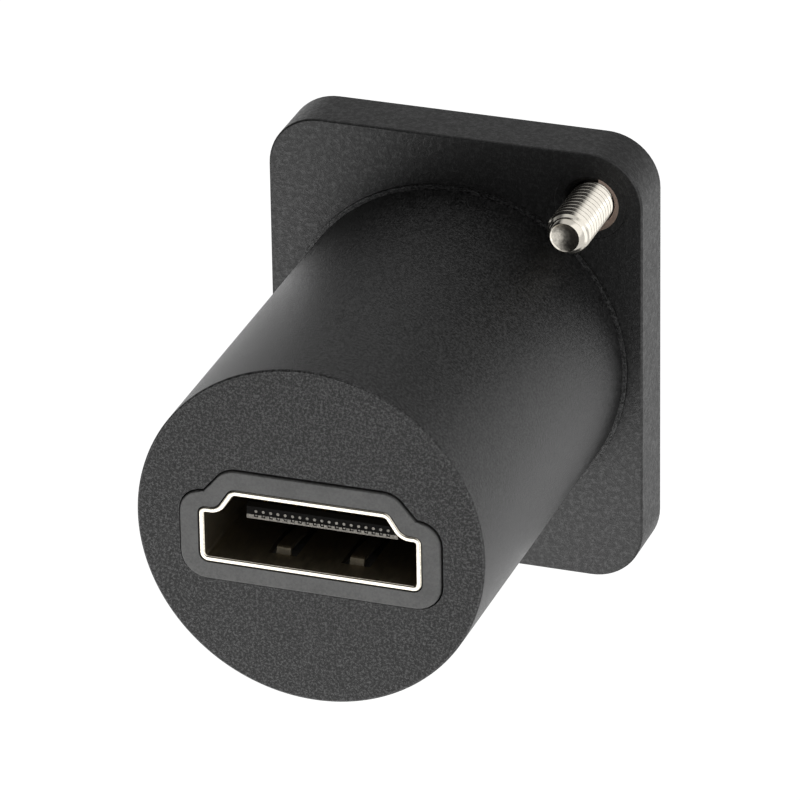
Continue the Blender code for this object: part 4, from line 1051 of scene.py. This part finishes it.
def build_front_block(settings):
    front = FRONT_BLOCK_HIGH.y
    root = front - settings.tongue_length
    back = FRONT_BLOCK_LOW.y
    obj = front_outline("front_socket_block", settings, -settings.sheet - SHEET_FIT, (back, root))
    half = settings.tongue_thickness / 2
    tongue = box("tongue", settings.tongue_width / 2, ((root + back) / 2, front),
                 (TONGUE_Z - half, TONGUE_Z + half))
    round_edges(tongue, settings.tongue_edge, 3, lambda edge: all_at(edge, 1, front) or along(edge, 1))
    combine(obj, "UNION", tongue)
    on_tongue = half + settings.contact_proud - settings.contact_sheet / 2
    on_board = settings.pad_level + settings.contact_sheet / 2
    groove = settings.contact_width + 2 * CONTACT_FIT
    depth = settings.contact_sheet / 2 + CONTACT_FIT
    places = centred(settings.row, settings.pitch)
    for side in (1, -1):
        floor = TONGUE_Z + side * (on_tongue - depth)
        for y_range, far in (
            ((root - CONTACT_FIT, front - settings.contact_start + CONTACT_FIT), on_tongue + OVERSHOOT),
            ((back - OVERSHOOT, root + CONTACT_FIT), on_board + depth),
        ):
            grooves = comb("grooves", places, groove, y_range, sorted((floor, TONGUE_Z + side * far)))
            combine(obj, "DIFFERENCE", grooves)
    slit = box("slit", settings.width, (PLATE_LOW.y - CONTACT_FIT, PLATE_HIGH.y + CONTACT_FIT),
               (PLATE_LOW.z - CONTACT_FIT, PLATE_HIGH.z + CONTACT_FIT))
    combine(obj, "DIFFERENCE", slit)
    dress(obj, [bpy.data.materials["filled_connector_plastic"]], "usb_c_insulator")


def thread(settings, y_from, y_to):
    """A right-handed thread about the Y axis: one pitch of its profile, swept up a helix and cut off flat."""
    crest = settings.diameter / 2
    root = crest - THREAD_DEPTH * settings.pitch
    bend = settings.crest_round
    turns = [math.radians(turn) for turn in (-60, -40, -20, 20, 40, 60)]
    rounded = [
        (crest - bend * (1 - math.cos(turn)), 0.5 + bend * math.sin(turn) / settings.pitch) for turn in turns
    ]
    flank = (rounded[0][0] - root) / math.tan(turns[-1]) / settings.pitch
    foot, far_foot = rounded[0][1] - flank, rounded[-1][1] + flank
    profile = [(root, 0.0), (root, foot), *rounded, (root, far_foot), (root, 1.0)]
    first = y_from - 2 * settings.pitch
    obj = draw_line("thread", [(radius, first + share * settings.pitch, 0) for radius, share in profile])
    rounds = math.ceil((y_to - y_from) / settings.pitch) + 4
    apply(obj, "SCREW", axis="Y", angle=math.tau, screw_offset=settings.pitch, iterations=rounds, steps=40,
          render_steps=40, use_smooth_shade=False)
    with editing(obj):
        bpy.ops.mesh.select_all(action="SELECT")
        bpy.ops.mesh.remove_doubles(threshold=WELD)
        for y, side in ((y_from, -1), (y_to, 1)):
            bpy.ops.mesh.select_all(action="SELECT")
            bpy.ops.mesh.bisect(plane_co=(0, y, 0), plane_no=(0, side, 0), use_fill=True, clear_outer=True,
                                threshold=WELD)
        bpy.ops.mesh.select_all(action="SELECT")
        bpy.ops.mesh.normals_make_consistent(inside=False)
    return obj


def build_screw(settings, name, side, node, looks):
    head, shank = settings.head / 2, settings.diameter / 2
    top, tip = SCREW_HIGH.y, SCREW_LOW.y
    cone = top - settings.head_rim
    neck = cone - (head - shank)
    rim = shank - settings.tip_chamfer
    cup = rim - settings.tip_rim
    obj = thread(settings, tip - OVERSHOOT / 2, neck + LAP / 2)
    tip_shape = turned("tip_shape", [
        (0, top),
        (shank + OVERSHOOT, top),
        (shank + OVERSHOOT, tip + 2 * (settings.tip_chamfer + OVERSHOOT)),
        (rim, tip + settings.tip_rim / 2),
        (rim - settings.tip_rim / 2, tip),
        (cup, tip + settings.tip_rim / 2),
        *((across * cup, tip + deep * settings.cup_depth) for across, deep in CUP_SHAPE),
    ], SMALL_SEGMENTS)
    combine(obj, "INTERSECT", tip_shape)
    cap = turned("cap", [
        (0, top),
        (head, top),
        (head, cone),
        (shank, neck),
        (shank, neck - LAP),
        (0, neck - LAP),
    ], SMALL_SEGMENTS)
    combine(obj, "UNION", cap)
    half, blade = settings.recess_span / 2, settings.recess_blade / 2
    for wide, high in ((half, blade), (blade, half)):
        arm = cube("arm", (-wide, top - settings.recess_depth, -high), (wide, top + OVERSHOOT, high))
        with editing(arm):
            pick(arm, "FACE", lambda face: all_at(face, 1, top - settings.recess_depth))
            bpy.ops.transform.resize(value=(RECESS_TAPER, 1, RECESS_TAPER))
        combine(obj, "DIFFERENCE", arm)
    moved(obj, side * SCREW_PLACE.x, side * SCREW_PLACE.z)
    obj.name = obj.data.name = name
    dress(obj, looks, node)
    # The cup's faces take the darker steel
    middle = Vector((side * SCREW_PLACE.x, tip, side * SCREW_PLACE.z))
    paint(obj, lambda face: (face.calc_center_median() - middle).length < cup and (
        face.calc_center_median().y < tip + settings.cup_depth
    ))


class ADAPTER_OT_housing(Operator):
    """Flange and barrel in one moulding"""

    bl_idname = "adapter.housing"
    bl_label = "Housing"

    def execute(self, context):
        scene = context.scene
        build_housing(scene.adapter_housing, scene.adapter_carrier, scene.adapter_barrel_socket,
                      scene.adapter_screw)
        return {"FINISHED"}


class ADAPTER_OT_carrier(Operator):
    """Insert that fills the bore and shows round the barrel socket"""

    bl_idname = "adapter.carrier"
    bl_label = "Carrier"

    def execute(self, context):
        scene = context.scene
        build_carrier(scene.adapter_carrier, scene.adapter_housing, scene.adapter_barrel_socket)
        return {"FINISHED"}


class ADAPTER_OT_bezel(Operator):
    """Disc in the flange's front, with the front socket's slot"""

    bl_idname = "adapter.bezel"
    bl_label = "Bezel"

    def execute(self, context):
        build_bezel(context.scene.adapter_carrier, context.scene.adapter_front_socket)
        return {"FINISHED"}


class ADAPTER_OT_barrel_socket(Operator):
    """Stamped shell with its spring fingers, and the tongue's block"""

    bl_idname = "adapter.barrel_socket"
    bl_label = "Barrel Socket"

    def execute(self, context):
        build_barrel_shell(context.scene.adapter_barrel_socket)
        build_barrel_block(context.scene.adapter_barrel_socket)
        return {"FINISHED"}


class ADAPTER_OT_front_socket(Operator):
    """Drawn shell and thin tongue in the flange's front"""

    bl_idname = "adapter.front_socket"
    bl_label = "Front Socket"

    def execute(self, context):
        build_front_shell(context.scene.adapter_front_socket)
        build_front_block(context.scene.adapter_front_socket)
        return {"FINISHED"}


class ADAPTER_OT_screws(Operator):
    """Countersunk screws with rolled threads"""

    bl_idname = "adapter.screws"
    bl_label = "Flange Screws"

    def execute(self, context):
        settings = context.scene.adapter_screw
        looks = [plated_rolled_steel(settings), darker_steel_cup(settings)]
        build_screw(settings, "screw_right", 1, "flange_screw_right", looks)
        build_screw(settings, "screw_left", -1, "flange_screw_left", looks)
        return {"FINISHED"}


class ADAPTER_OT_inner_pieces(Operator):
    """Finishes of the contacts, the board and what it carries"""

    bl_idname = "adapter.inner_pieces"
    bl_label = "Inner Pieces"

    def execute(self, context):
        gold = gold_plated_bronze()
        epoxy = moulded_epoxy()
        looks = {
            "usb_c_mid_plate": bpy.data.materials["plated_rolled_steel"],
            "main_board": solder_resist(),
            "converter_chip": epoxy,
            "regulator": epoxy,
            "crystal": drawn_crystal_can(),
            "capacitor_1": fired_ceramic("capacitor_1"),
            "capacitor_2": fired_ceramic("capacitor_2"),
        }
        for name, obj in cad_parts.items():
            look = gold if "_contact_" in name else looks.get(name)
            if look:
                obj.data.materials.clear()
                obj.data.materials.append(look)
        return {"FINISHED"}


class ADAPTER_OT_stage(Operator):
    """Camera, floor and light"""

    bl_idname = "adapter.stage"
    bl_label = "Stage"

    def execute(self, context):
        settings = context.scene.adapter_stage
        context.scene.view_settings.view_transform = "Standard"
        studio_world(settings.white)
        floor = start("floor", bpy.ops.mesh.primitive_plane_add, size=FLOOR_WIDTH,
                      location=(0, 0, -settings.floor_depth))
        floor.data.materials.append(studio_floor(settings.white))
        for lamp in LAMPS:
            soft_lamp(*lamp)
        level = math.cos(settings.elevation)
        back = Vector((math.sin(settings.azimuth) * level, -math.cos(settings.azimuth) * level,
                       math.sin(settings.elevation)))
        bpy.ops.object.select_all(action="DESELECT")
        bpy.ops.object.camera_add(location=Vector(settings.aim) + back * settings.distance)
        camera = context.active_object
        camera.name = "camera"
        camera.rotation_mode = "QUATERNION"
        camera.rotation_quaternion = (-back).to_track_quat("-Z", "Y") @ Quaternion((0, 0, 1), settings.roll)
        camera.data.lens = settings.lens
        camera.data.clip_start, camera.data.clip_end = 0.01, 10.0
        context.scene.camera = camera
        return {"FINISHED"}


class ADAPTER_PT_pieces(Panel):
    """The adapter's pieces, in the order in which they are made"""

    bl_label = "Panel Adapter"
    bl_space_type = "VIEW_3D"
    bl_region_type = "UI"
    bl_category = "Adapter"

    def draw(self, context):
        for operator in OPERATORS:
            self.layout.operator(operator.bl_idname)


OPERATORS = (
    ADAPTER_OT_housing,
    ADAPTER_OT_carrier,
    ADAPTER_OT_bezel,
    ADAPTER_OT_barrel_socket,
    ADAPTER_OT_front_socket,
    ADAPTER_OT_screws,
    ADAPTER_OT_inner_pieces,
    ADAPTER_OT_stage,
)
SETTINGS = {
    "adapter_housing": HousingSettings,
    "adapter_carrier": CarrierSettings,
    "adapter_barrel_socket": BarrelSocketSettings,
    "adapter_front_socket": FrontSocketSettings,
    "adapter_screw": ScrewSettings,
    "adapter_stage": StageSettings,
}


def register():
    for each in (*SETTINGS.values(), *OPERATORS, ADAPTER_PT_pieces):
        bpy.utils.register_class(each)
    for name, group in SETTINGS.items():
        setattr(bpy.types.Scene, name, PointerProperty(type=group))


def unregister():
    for name in SETTINGS:
        delattr(bpy.types.Scene, name)
    for each in reversed((*SETTINGS.values(), *OPERATORS, ADAPTER_PT_pieces)):
        bpy.utils.unregister_class(each)


def main():
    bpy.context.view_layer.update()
    register()
    bpy.ops.adapter.housing()
    bpy.ops.adapter.carrier()
    bpy.ops.adapter.bezel()
    bpy.ops.adapter.barrel_socket()
    bpy.ops.adapter.front_socket()
    bpy.ops.adapter.screws()
    bpy.ops.adapter.inner_pieces()
    bpy.ops.adapter.stage()


if __name__ == "__main__":
    main()
